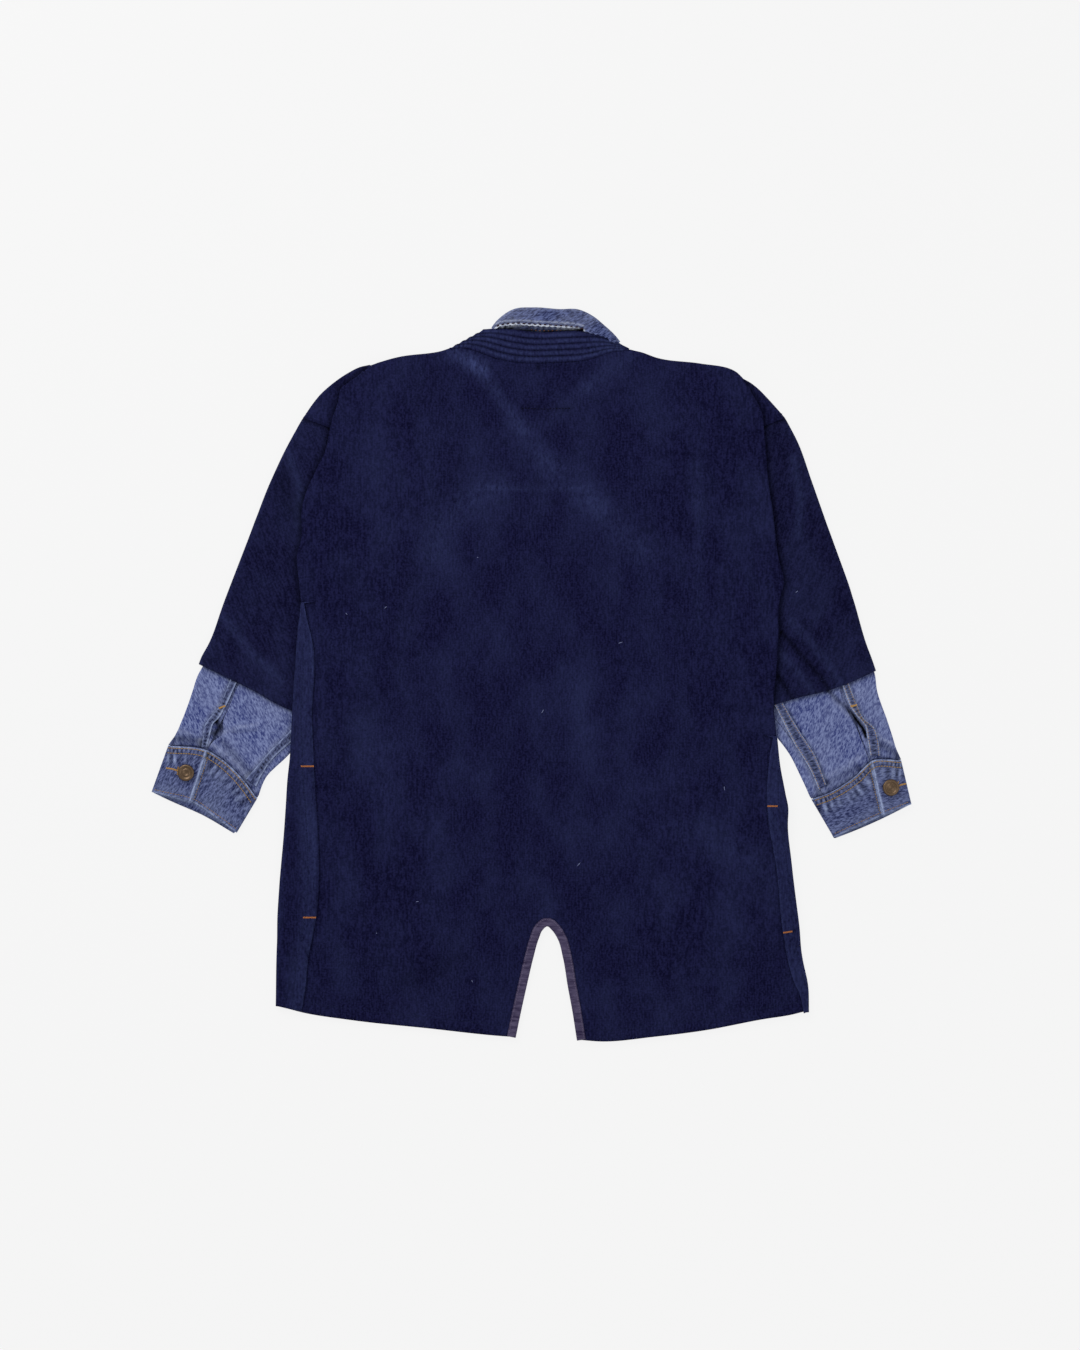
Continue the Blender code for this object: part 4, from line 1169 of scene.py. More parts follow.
@dataclass
class Body:
    """The back and the two fronts, which share their rows from the hem to the shoulders."""

    rows: int = 176
    columns: int = 141
    fold_columns: int = 6
    lap_columns: int = 9
    front_columns: int = 30

    def build(self) -> None:
        """Builds the back, the fronts, their bands and the binding round the vent."""
        self.back()
        for side in SIDES:
            self.front(side)
            self.band(side)
        self.binding()
        self.sew()

    def sew(self) -> None:
        """Hem rows, side seams with their bar tacks, the vent's row and the marks at the nape."""
        hem = through(HEM, 200) + [0.0, ROW_ABOVE_EDGE]
        rows = [StitchRow(hem[(hem[:, 0] > -245) & (hem[:, 0] < -28)]),
                StitchRow(hem[(hem[:, 0] > 58) & (hem[:, 0] < 288)])]
        Sewing("back_hem_stitching", NAVY_THREAD, "back_panel", "back", "sashiko_navy", rows).build()
        marks = [StitchRow(((-11, 287), (16, 286), (42, 287)), 3.2, 2.3, 0.4)]
        Sewing("nape_stitching", DARK_THREAD, "back_panel", "back", "sashiko_navy", marks).build()
        tape, _ = self.vent_curve(200, 7.9)
        Sewing("vent_tape_stitching", MAUVE, "vent_tape", "vent_binding", "grosgrain_brown",
               [StitchRow(tape, 2.6, 1.8, 0.26)]).build()
        for side in SIDES:
            name = "front_panel_" + side.name
            node = "front_" + side.name
            seam = through(side.side_seam, 120)
            seam = seam[(seam[:, 1] > -340) & (seam[:, 1] < 30)] + [side.out * 12.0, 0.0]
            Sewing("side_stitching_" + side.name, NAVY_THREAD, name, node, "sashiko_navy",
                   [StitchRow(seam), StitchRow(hem[(hem[:, 0] * side.out > 250)])]).build()
            tacks = [StitchRow(tack, 1.0, 1.9, 0.5, True) for tack in side.bar_tacks]
            Sewing("pocket_bar_tacks_" + side.name, ORANGE, name, node, "sashiko_navy", tacks).build()

    def hem_rise(self, plan: Grid) -> Grid:
        """The hem's turned depth stands proud, with a low row of stitching above it.

        Args:
            plan: Points in plan.

        Returns:
            The rise at each point.
        """
        hem = through(HEM, 60)
        above = plan[..., 1] - np.interp(plan[..., 0], hem[:, 0], hem[:, 1])
        return HEM_PROUD * ease((HEM_DEPTH - above) / PROUD_SOFTNESS)

    def back(self) -> None:
        """The back: its own outline, rolled under along the arm folds and the shoulders."""
        edges = []
        for side in SIDES:
            hidden = [(x - side.out * (SASHIKO + 2 * GAP + 2), y) for x, y in side.side_edge]
            lower, upper = split(self.rows, side.lower)
            edges.append(np.concatenate([through(hidden, lower), through(side.fold, upper)]))
        hem, top = through(HEM, self.columns), through(SHOULDERS, self.columns)
        edges[0][0], edges[1][0] = hem[0], hem[-1]
        edges[0][-1], edges[1][-1] = top[0], top[-1]
        plan = patch(hem, top, edges[0], edges[1])
        inset = PLY / 2 + SASHIKO / 2
        folds = [split(self.rows, side.lower)[0] for side in SIDES]
        pull = inset * (1 - np.arange(5) / 5)
        for columns, side, first in ((slice(0, 5), LEFT, folds[0]), (slice(-1, -6, -1), RIGHT, folds[1])):
            plan[first:, columns, 0] -= side.out * pull
        beyond = np.maximum(NECK_ENDS[0] - top[:, 0], top[:, 0] - NECK_ENDS[1])
        rolled = np.where(beyond > 0, 0.15 + 0.85 * ease(beyond / 10.0), 0.0)
        plan[-1:-6:-1, :, 1] -= rolled[None] * pull[:, None]
        main = lift(plan, back_mid(plan) + self.hem_rise(plan))
        sides = []
        for column, side in ((0, LEFT), (-1, RIGHT)):
            edge, level = main[:, column, :2], main[:, column, 2]
            outward = np.tile([float(side.out), 0.0], (self.rows, 1))
            bend = turn(edge, outward, level - PLY, level, self.fold_columns, False)
            inward = np.array([side.out * RETURN, 0.0])
            under = np.concatenate([lift(edge[:, None], level - PLY),
                                    lift(edge[:, None] - inward, level - PLY)], axis=1)
            sides.append(np.concatenate([bend, under], axis=1))
        grid = np.concatenate([sides[0][:, ::-1], main, sides[1]], axis=1)
        extra = self.fold_columns + 2
        edge, level = grid[-1, :, :2], grid[-1, :, 2]
        drop = PLY * np.pad(rolled, extra, mode="edge")
        bend = turn(edge, np.tile([0.0, 1.0], (len(edge), 1)), level - drop, level, self.fold_columns,
                    False).transpose(1, 0, 2)
        start = lift(edge[None], (level - drop)[None])
        grid = np.concatenate([grid, bend, start, start - np.array([0.0, RETURN, 0.0])], axis=0)
        keep = np.ones((grid.shape[0] - 1, grid.shape[1] - 1), bool)
        keep[:folds[0], :extra] = False
        keep[:folds[1], -extra:] = False
        keep[self.rows - 2:, :extra] = False
        keep[self.rows - 2:, -extra:] = False
        keep[self.rows - 1:] &= ((drop[1:] > 0) & (drop[:-1] > 0))[None]
        keep[self.rows - 1:, :extra + 1] = False
        keep[self.rows - 1:, -extra - 1:] = False
        cutter = self.vent_cutter()
        Cloth("back_panel", grid, SASHIKO, NAVY, "back", "sashiko_navy",
              ("front_panel_left", "front_panel_right"), keep=keep, cutter=cutter,
              wear_and_highlight=self.fade, shade=self.dark).build()
        bpy.data.objects.remove(cutter, do_unlink=True)

    def fade(self, plan: Grid) -> Grid:
        """Where the back has faded to a paler blue."""
        fades = (
            Mark(((-84, 346), (-66, 338), (-54, 330)), 9.0, 0.5),
            Mark(((-62, 334), (-42, 310), (-28, 289), (-10, 264)), 8.0, 0.26),
            Mark(((-10, 264), (8, 240), (20, 222)), 13.0, 0.15),
            Mark(((10, 232), (42, 205), (70, 180)), 14.0, 0.14),
            Mark(((66, 184), (92, 158), (118, 130)), 17.0, 0.2),
            Mark(((106, 343), (84, 332), (62, 312)), 11.0, 0.18),
            Mark(((60, 308), (36, 288), (18, 270)), 9.0, 0.1),
            Mark(((-40, 200), (-70, 184), (-96, 160), (-107, 135)), 20.0, 0.2),
            Mark(((178, 221), (180, 140), (179, 59)), 7.0, 0.12),
            Mark(((-60, 201), (60, 201)), 2.4, 0.2),
            Mark(((40, 4), (60, -60), (64, -110)), 16.0, 0.12),
            Mark(((-180, -60), (-160, -120)), 22.0, 0.12),
            Mark(((-80, -100), (-60, -112)), 18.0, 0.12),
            Mark(((160, -168), (220, -190), (290, -233)), 22.0, 0.14),
        )
        return total(fades, plan)

    def dark(self, plan: Grid) -> Grid:
        """Where the back is darker: painted shade in the trough along the yoke stitching and in its
        deeper creases.
        """
        marks = (
            Mark(((-11, 287), (42, 287)), 2.2, 0.35),
            Mark(((7, 213), (7, 201)), 1.6, 0.4),
            Mark(((7, 332), (8, 331)), 3.0, 0.5),
            Mark(((-132, -331), (-79, -308)), 14.0, 0.15),
        )
        return total(marks, plan)

    def vent_curve(self, count: int, outwards: float) -> tuple[Grid, Grid]:
        """The vent's edge from left to right, moved away from the opening, and the way it moved.

        Args:
            count: Points along the edge.
            outwards: How far it is moved.

        Returns:
            The moved edge, and the direction at each of its points.
        """
        edge = through(VENT, count)
        along = unit(np.gradient(edge, axis=0))
        away = np.stack([-along[:, 1], along[:, 0]], axis=1)
        return edge + away * outwards, away

    def vent_cutter(self) -> bpy.types.Object:
        """A block in the shape of the vent, that cuts it out of the back.

        Returns:
            The block, which the caller removes after use.
        """
        below, bottom, top = -420.0, -5.0, 25.0
        edge, _ = self.vent_curve(61, BINDING + 4 * GAP)
        outline = np.concatenate([edge, [[edge[-1, 0], below], [edge[0, 0], below]]])
        count = len(outline)
        points = np.concatenate([np.column_stack([outline, np.full(count, z)]) for z in (bottom, top)])
        faces = [list(range(count))[::-1], list(range(count, 2 * count))]
        ring = np.arange(count)
        beside = (ring + 1) % count
        faces += np.stack([ring, beside, count + beside, count + ring], axis=1).tolist()
        made = mesh_object("vent_cutter", points, faces, NAVY.material())
        made.data.flip_normals()
        return made

    def binding(self) -> None:
        """The tape folded round the edge of the vent."""
        radius = (SASHIKO + 2 * GAP + BINDING) / 2
        centre, away = self.vent_curve(150, radius + BINDING / 2)
        level = back_mid(centre[None])[0] + self.hem_rise(centre[None])[0]
        leg = BINDING_WIDTH - radius - BINDING / 2
        legs = centre[:, None] + away[:, None] * np.linspace(leg, 0.0, 5)[None, :, None]
        grid = np.concatenate([lift(legs, level - radius),
                               turn(centre, -away, level - radius, level + radius, 5, True),
                               lift(legs[:, ::-1], level + radius)], axis=1)
        Cloth("vent_tape", grid, BINDING, TAPE, "vent_binding", "grosgrain_brown",
              ("back_panel",)).build()

    def front(self, side: Side) -> None:
        """A front: flat on the floor, wrapped round the side and lapped over the back.

        Args:
            side: Which side of the coat.
        """
        lower, upper = split(self.rows, side.lower)
        high = PLY + LAP_OVER_BACK
        inset = high / 2 + SASHIKO / 2
        folded = through([(x - side.out * inset, y) for x, y in side.side_edge], lower)
        clear = SASHIKO + PLY / 2 + RETURN + FRONT_CLEAR
        plain = [(x - side.out * clear, y) for x, y in side.fold]
        plain[0] = (plain[0][0], side.underarm + 1.0)
        plain = through(plain[:-1] + [side.front_top[0]], upper)
        outer = np.concatenate([folded, plain])
        inner = through(side.front_edge, self.rows)
        hem = through([outer[0], side.front_edge[0]], self.front_columns)
        hem[1:-1, 1] = np.interp(hem[1:-1, 0], [p[0] for p in HEM], [p[1] for p in HEM]) + 4.0
        top = through(side.front_top, self.front_columns)
        top[-1] = inner[-1]
        plan = patch(hem, top, outer, inner)
        main = lift(plan, front_mid(plan))
        seam = np.concatenate([through(side.side_seam, lower), outer[lower:]])
        edge = plan[:, 0]
        low, level = main[:, 0, 2], back_mid(edge) + LAP_OVER_BACK
        outward = np.tile([float(side.out), 0.0], (self.rows, 1))
        bend = turn(edge, outward, low, level, self.fold_columns, True)
        lap = ruled(edge, seam, self.lap_columns)
        lap = lift(lap, back_mid(lap) + LAP_OVER_BACK + self.hem_rise(lap))
        grid = np.concatenate([lap[:, ::-1], bend[:, ::-1], main], axis=1)
        keep = np.ones((self.rows - 1, grid.shape[1] - 1), bool)
        keep[lower:, :self.lap_columns + self.fold_columns] = False
        seam_line = list(side.side_seam)

        def wear_and_highlight(plan: Grid) -> Grid:
            """The lap's edge, the fold at the side, and the rubbed stretch over the pocket."""
            rubbed = [(x + side.out * 8.0, y) for x, y in seam_line]
            marks = (Mark(seam_line, 1.6, 0.25), Mark(side.side_edge, 3.0, 0.15),
                     Mark(rubbed, 10.0, 0.24))
            return total(marks, plan)

        Cloth("front_panel_" + side.name, grid, SASHIKO, NAVY, "front_" + side.name, "sashiko_navy",
              keep=keep, wear_and_highlight=wear_and_highlight).build()

    def band(self, side: Side) -> None:
        """The band down a front's edge, under the back.

        Args:
            side: Which side of the coat.
        """
        seam = through(side.front_edge, self.rows) - [side.out * 2 * GAP, 0.0]
        plan = ruled(seam, through(side.band_edge, self.rows), 16)
        Cloth("front_edge_band_" + side.name, lift(plan, FRONT_BAND / 2), FRONT_BAND, NAVY,
              "front_band_" + side.name, "sashiko_navy").build()


@dataclass
class Arm:
    """One arm: the dropped shoulder, the navy sleeve, and the denim sleeve inside it."""

    side: Side
    rows: int = 64
    denim_rows: int = 66

    def build(self) -> None:
        """Builds the arm's pieces from the shoulder down."""
        self.shoulder()
        self.sleeve()
        self.denim()

    def shoulder(self) -> None:
        """The stretch of body cloth that shows beyond the fold of the back."""
        side, columns = self.side, 40
        outer, inner = through(side.shoulder_edge, 26), through(side.shoulder_hidden, 26)
        plan = ruled(outer, inner, columns)
        seam = through(side.armhole, 200)
        plan[-1] = through(seam[:int(np.linalg.norm(seam - inner[-1], axis=1).argmin()):20], columns)
        over, _, under, fold, _ = tube(plan, plan, flat(FLOOR_MID), flat(SLEEVE_HIGH), SASHIKO,
                                       (24, 12, 6))
        # Painted shadow on the shoulder beside the back's fold.
        Cloth("shoulder_piece_" + side.name, np.concatenate([under, fold, over], axis=1), SASHIKO,
              NAVY, "shoulder_" + side.name, "sashiko_navy", shade=Mark(side.fold, 5.0, 0.45).at).build()
        turned = ruled(seam[6:-6:6] + [0.0, 7.0], seam[6:-6:6] - [0.0, 7.0], 6)
        Cloth("armhole_allowance_" + side.name, lift(turned, (FLOOR_MID + SLEEVE_HIGH) / 2), 1.0, NAVY,
              "sleeve_" + side.name, "sashiko_navy", ("outer_sleeve_" + side.name,)).build()

    def sleeve_high(self, plan: Grid) -> Grid:
        """Height of the upper sleeve wall: a raised hem and armhole seam, and soft folds.

        Args:
            plan: Points in plan.

        Returns:
            The height at each point.
        """
        side = self.side
        hem = ease((HEM_DEPTH - off_line(plan, side.sleeve_hem)) / PROUD_SOFTNESS)
        seam = ease((HEM_DEPTH - off_line(plan, side.armhole)) / PROUD_SOFTNESS)
        return (SLEEVE_HIGH + SLEEVE_HEM_PROUD * hem + SEAM_PROUD * seam
                + total(side.sleeve_folds, plan))

    def sleeve(self) -> None:
        """The wide navy sleeve, laid flat, with a turned hem."""
        side = self.side
        plan = patch(through(side.armhole, 61), through(side.sleeve_hem, 61),
                     through(side.sleeve_outer, self.rows), through(side.sleeve_inner, self.rows))
        over, inner_fold, under, outer_fold, _ = tube(plan, plan, flat(FLOOR_MID), self.sleeve_high,
                                                      SASHIKO, (60, 24, 6))
        grid = np.concatenate([over, inner_fold, under, outer_fold], axis=1)
        grid[0, :, 1] -= GAP

        def shade(plan: Grid) -> Grid:
            """Painted shade: beside the back's fold, along the armhole seam and in the folds."""
            dark = [Mark(((-268, 214), (-264, 196), (-256, 178)), 13.0, 0.25), Mark(side.fold, 5.0, 0.45),
                    Mark(side.armhole, 0.9, 0.5)]
            # Painted shade in the troughs of the folds.
            dark += [Mark(fold.line, 2.6, 0.6) for fold in side.sleeve_folds if fold.amount < -0.6]
            return total(dark, plan)

        def wear_and_highlight(plan: Grid) -> Grid:
            """Pale places: fading along the outer fold and the hem, and painted highlights on the raised
            folds.
            """
            pale = [Mark(side.sleeve_outer, 3.0, 0.12), Mark(side.sleeve_hem, 1.5, 0.15)]
            # Painted highlights on the ridges of the folds.
            pale += [Mark(fold.line, 5.0, 0.22) for fold in side.sleeve_folds if fold.amount > 0.4]
            return total(pale, plan)

        name = "outer_sleeve_" + side.name
        Cloth(name, grid, SASHIKO, SLEEVE_NAVY[side.name], "sleeve_" + side.name, "sashiko_navy",
              loop=True, shade=shade, wear_and_highlight=wear_and_highlight).build()
        rows = [StitchRow(beside(side.sleeve_hem, -side.out * ROW_ABOVE_EDGE)[1:-2]),
                StitchRow(beside(side.armhole, side.out * ROW_ABOVE_EDGE)[1:40])]
        Sewing("sleeve_stitching_" + side.name, NAVY_THREAD, name, "sleeve_" + side.name,
               "sashiko_navy", rows).build()

    def denim(self) -> None:
        """The denim sleeve's top and under panels."""
        side, rows = self.side, self.denim_rows
        outer, inner = through(side.denim_outer, rows), through(side.denim_inner, rows)
        last = through(side.cuff_top, 61) + [0.0, 3 * GAP]
        first = through([outer[0], inner[0]], 61)
        outer[-1], inner[-1] = last[0], last[-1]
        plan = patch(first, last, outer, inner)
        way = np.linspace(0.0, 1.0, rows)

        def low(points: Grid) -> Grid:
            """Height of the lower wall: raised where it lies in the navy sleeve."""
            inside = ease(1 + (depth_inside(points, sleeve_outline(side)) + 12.0) / 25.0)
            return DENIM / 2 + (DENIM_LOW_INSIDE - DENIM / 2) * inside

        def high(points: Grid) -> Grid:
            """Height of the upper wall, with its folds."""
            return DENIM_HIGH + total(side.denim_folds, points)

        _, inner_fold, under, outer_fold, inset = tube(plan, plan, low, high, DENIM, (60, 30, 6))
        (near_start, near_stop), (far_start, far_stop) = side.denim_seams
        near = near_start + (near_stop - near_start) * way
        far = far_start + (far_stop - far_start) * way
        length = row_length(plan)
        half = GAP / 2 / length
        middle, reach, gape = side.slit
        slit = gape / length * np.exp(-((way - middle) / reach) ** 2)
        top = span(plan, near + half + slit, far - half, 60)
        inner_part = span(plan, far + half, 1 - inset, 8)
        outer_part = span(plan, inset, near - half, 30)
        grid = np.concatenate([lift(inner_part, high(inner_part)), inner_fold, under, outer_fold,
                               lift(outer_part, high(outer_part))], axis=1)
        for name, part in (("top", lift(top, high(top))), ("under", grid)):
            Cloth(f"denim_{name}_panel_{side.name}", part, DENIM, BLUE[side.name],
                  f"denim_{name}_{side.name}", "denim_blue", wear_and_highlight=self.denim_wear,
                  shade=self.denim_shade).build()
        turned = through(side.cuff_top, 61)[1:-1:2]
        last = len(turned) - 1
        reach = np.interp(np.arange(last + 1), [0, 4, last - 4, last],
                          [1.5, ALLOWANCE_REACH, ALLOWANCE_REACH, 1.2])
        reach = np.stack([np.zeros(last + 1), reach], axis=1)
        turned = ruled(turned + reach, turned - reach, 6)
        Cloth("cuff_allowance_" + side.name, lift(turned, 2.75), 0.8, BLUE[side.name],
              "denim_under_" + side.name, "denim_blue", (f"denim_under_panel_{side.name}",)).build()
        self.strip("placket", side.placket, high)
        self.strip("felled_seam", side.felled, high)

    def strip(self, name: str, lines: tuple[Line, Line], high: Callable[[Grid], Grid]) -> None:
        """A folded strip of denim along a seam, a wall higher than the panels, with its edges low.

        Args:
            name: What the strip is.
            lines: Its two edges in plan.
            high: Height of the denim's upper wall.
        """
        side = self.side
        plan = ruled(through(lines[0], 90), through(lines[1], 90), 9)
        across = np.linspace(-1.0, 1.0, 9)[None, :]
        _, travelled = nearest(plan, lines[0])
        wave = 0.2 * np.sin(2 * np.pi * travelled / STRIP_PITCH) * (1 - across**2)
        grid = lift(plan, high(plan) + DENIM / 2 + 0.55 - 0.25 * across**4 + wave)

        middle = (np.array(lines[0], float) + np.array(lines[1], float)) / 2
        puckers = Puckers(middle, 2.6, 0.75, STRIP_PITCH)

        def wear_and_highlight(points: Grid) -> Grid:
            """Pale edges, and the tops of the puckers."""
            towards_body, away = lines[::side.out]
            edges = (Mark(towards_body, 1.3, 2.0), Mark(away, 1.1, 1.0))
            return total(edges, points) + np.clip(0.5 * puckers.at(points), 0.0, 1.0)

        def shade(points: Grid) -> Grid:
            """The hollows of the puckers."""
            return np.clip(-puckers.at(points), 0.0, 1.0) + Mark(middle, 2.4, 0.25).at(points)

        Cloth(f"{name}_{side.name}", grid, 0.9, CUFF_BLUE[side.name], "denim_under_" + side.name,
              "denim_blue", (f"denim_under_panel_{side.name}",), wear_and_highlight=wear_and_highlight, shade=shade).build()
        edges = [StitchRow(beside(lines[0], side.out * 1.3), 2.9, 2.0, 0.3),
                 StitchRow(beside(lines[1], -side.out * 1.3), 2.9, 2.0, 0.3)]
        Sewing(f"{name}_stitching_{side.name}", TAN, f"{name}_{side.name}",
               "denim_under_" + side.name, "denim_blue", edges).build()
        if name == "placket":
            Sewing(f"placket_bar_tack_{side.name}", GOLD, f"{name}_{side.name}",
                   "denim_under_" + side.name, "denim_blue",
                   [StitchRow(side.placket_tack, 0.9, 2.2, 0.45, True)]).build()

    def denim_wear(self, plan: Grid) -> Grid:
        """Pale places of the denim sleeve: along its seams, and streaks over the cuff.

        Args:
            plan: Points in plan.

        Returns:
            Strength of the fading.
        """
        side = self.side
        streaks = np.clip(Puckers(side.cuff_top, 11.0, 0.25, CUFF_STREAK_PITCH).at(plan), 0.0, 1.0)
        fades = (Mark(side.placket[0], 4.0, 0.2), Mark(side.felled[0], 4.0, 0.25), *side.denim_pale)
        return total(fades, plan) + streaks

    def denim_shade(self, plan: Grid) -> Grid:
        """Painted shade on the denim: beside its raised seams, in its folds and slit, and over the cuff.

        Args:
            plan: Points in plan.

        Returns:
            Strength of the painted shade.
        """
        side = self.side
        hollow = np.clip(-Puckers(side.cuff_top, 11.0, 0.25, CUFF_STREAK_PITCH).at(plan), 0.0, 1.0)
        # Painted shade over the cuff's top, under the navy hem, beside the back's fold and beside the
        # raised strips.
        near = [Mark(side.cuff_top, 5.0, 0.42), Mark(side.sleeve_hem, 3.5, 0.35),
                Mark(side.fold, 4.0, 0.3)]
        near += [Mark(line, 2.4, 0.3) for line in (*side.placket, *side.felled)]
        return total((*near, *side.denim_painted_shade), plan) + hollow


@dataclass
class CuffPiece:
    """A denim cuff: one strip wrapped round the sleeve's end, with its ends lapped."""

    side: Side
    rows: int = 46
    lap_depth: float = 22.0
    lap_line: Optional[Grid] = None

    def build(self) -> None:
        """Builds the strip, from its hidden end under the lap round to the lap's edge."""
        side, rows = self.side, self.rows
        first, over_last = through(side.cuff_top, 81), through(side.cuff_edge, 81)
        under_last = through(side.cuff_under_edge, 81)
        outer = through([first[0], over_last[0]], rows)
        plan = patch(first, over_last, outer, through([first[-1], over_last[-1]], rows))
        under_plan = patch(first, under_last, outer, through([first[-1], under_last[-1]], rows))
        _, inner_fold, under, outer_fold, inset = tube(plan, under_plan, flat(CUFF_LOW),
                                                       flat(CUFF_HIGH), CUFF, (40, 40, 8))
        way = np.linspace(0.0, 1.0, rows)
        lap_edge = side.cuff_lap[0] + (side.cuff_lap[1] - side.cuff_lap[0]) * way
        hidden = lap_edge - self.lap_depth / row_length(plan)
        lapped = CUFF_HIGH + CUFF + GAP
        rise = ease(1.6 * np.linspace(0.0, 1.0, 34)[None, :] ** 0.7)
        lap_plan = span(plan, inset, lap_edge, 34)
        strip_plan = span(plan, hidden, 1 - inset, 66)
        upper_lap = lift(lap_plan, CUFF_HIGH + (lapped - CUFF_HIGH) * rise + self.rise(lap_plan))
        grid = np.concatenate([lift(strip_plan, CUFF_HIGH + self.rise(strip_plan)), inner_fold, under,
                               outer_fold, upper_lap], axis=1)
        self.lap_line = lap_plan[:, -1]
        name = "denim_cuff_" + side.name
        Cloth(name, grid, CUFF, CUFF_BLUE[side.name], "cuff_" + side.name, "denim_blue",
              wear_and_highlight=self.wear_and_highlight, shade=self.shade).build()
        self.sew(name)

    def rise(self, plan: Grid) -> Grid:
        """Small waves along the seam and the edge, and a dip along each row of stitches.

        Args:
            plan: Points in plan.

        Returns:
            The rise at each point.
        """
        side = self.side
        marks = (self.ticks(2.6, 0.3), self.streaks(0.3),
                 Puckers(beside(side.cuff_edge, -side.out * 5.0), 5.0, 0.15, 9.0),
                 Mark(self.below(CUFF_SEAM_ROWS[1]), 1.2, -0.35),
                 Mark(beside(side.cuff_edge, -side.out * CUFF_HEM_ROW), 1.2, -0.25))
        return total(marks, plan)

    def below(self, distance: float) -> Grid:
        """The line of the cuff's upper edge, moved down the cuff."""
        return beside(self.side.cuff_top, self.side.out * distance)

    def streaks(self, amount: float) -> Puckers:
        """The long waves down from the seam."""
        return Puckers(self.below(CUFF_STREAK_DEPTH), 6.0, amount, CUFF_STREAK_PITCH)

    def ticks(self, width: float, amount: float) -> Puckers:
        """The short waves between the seam's two rows."""
        return Puckers(self.below(CUFF_TICK_DEPTH), width, amount, CUFF_TICK_PITCH)

    def wear_and_highlight(self, plan: Grid) -> Grid:
        """Pale places of the cuff: its edges, the lap's edge, and streaks at the seam.

        Args:
            plan: Points in plan.

        Returns:
            Strength of the fading.
        """
        side = self.side
        streaks = np.clip(self.streaks(0.95).at(plan), 0.0, 1.0)
        ticks = np.clip(self.ticks(2.2, 0.6).at(plan), 0.0, 1.0)
        edges = (Mark(side.cuff_edge, 1.3, 1.2), Mark(side.cuff_top, 1.1, 1.1),
                 Mark(self.lap_line, 1.5, 2.0), Mark(beside(side.cuff_edge, -side.out * 8.0), 4.0, 0.12))
        return total(edges, plan) + streaks + ticks

    def shade(self, plan: Grid) -> Grid:
        """Dark places of the cuff: darker between the fades, and painted shade along the seam, beside the
        lap and inside the mouth.

        Args:
            plan: Points in plan.

        Returns:
            Strength of the darkening.
        """
        side = self.side
        hollow = np.clip(-self.streaks(0.6).at(plan), 0.0, 1.0)
        ticks = np.clip(-self.ticks(2.2, 0.85).at(plan), 0.0, 1.0)
        # Painted shade inside the mouth, along the seam's rows and beside the lap's edge.
        inside = Mark(through(side.cuff_under_edge, 20)[3:-3], 3.2, 0.3)
        lines = (inside, Mark(self.below(CUFF_SEAM_ROWS[1]), 1.2, 0.35), Mark(self.below(2.4), 1.0, 0.3),
                 Mark(self.lap_line - [side.out * 3.2, 0.0], 1.6, 0.4))
        return hollow + ticks + total(lines, plan)

    def sew(self, name: str) -> None:
        """The seam's two rows, the rows round the edges, and the buttonhole.

        Args:
            name: Name of the cuff that the stitches lie on.
        """
        side, node = self.side, "cuff_" + self.side.name
        seam = [StitchRow(self.below(distance), 2.8, 2.3, 0.46) for distance in CUFF_SEAM_ROWS]
        lap = np.array(self.lap_line)
        edge = [StitchRow(beside(side.cuff_edge, -side.out * CUFF_HEM_ROW)[2:-2], 2.8, 2.0, 0.3),
                StitchRow(beside(lap, -side.out * 3.0)[8:-6], 2.8, 2.0, 0.3)]
        Sewing("cuff_seam_stitching_" + side.name, TAN, name, node, "denim_blue", seam + edge).build()
        x, y = side.button
        inner = side.buttonhole[-1]
        split_up = (x + side.out * 8.5, y + 6.5)
        split_down = (x + side.out * 9.5, y - 2.5)
        hole = [StitchRow(side.buttonhole, 0.9, 2.0, 0.42, True),
                StitchRow((inner, split_up), 0.9, 1.4, 0.42, True),
                StitchRow((inner, split_down), 0.9, 1.4, 0.42, True)]
        Sewing("buttonhole_" + side.name, GOLD, name, node, "denim_blue", hole).build()


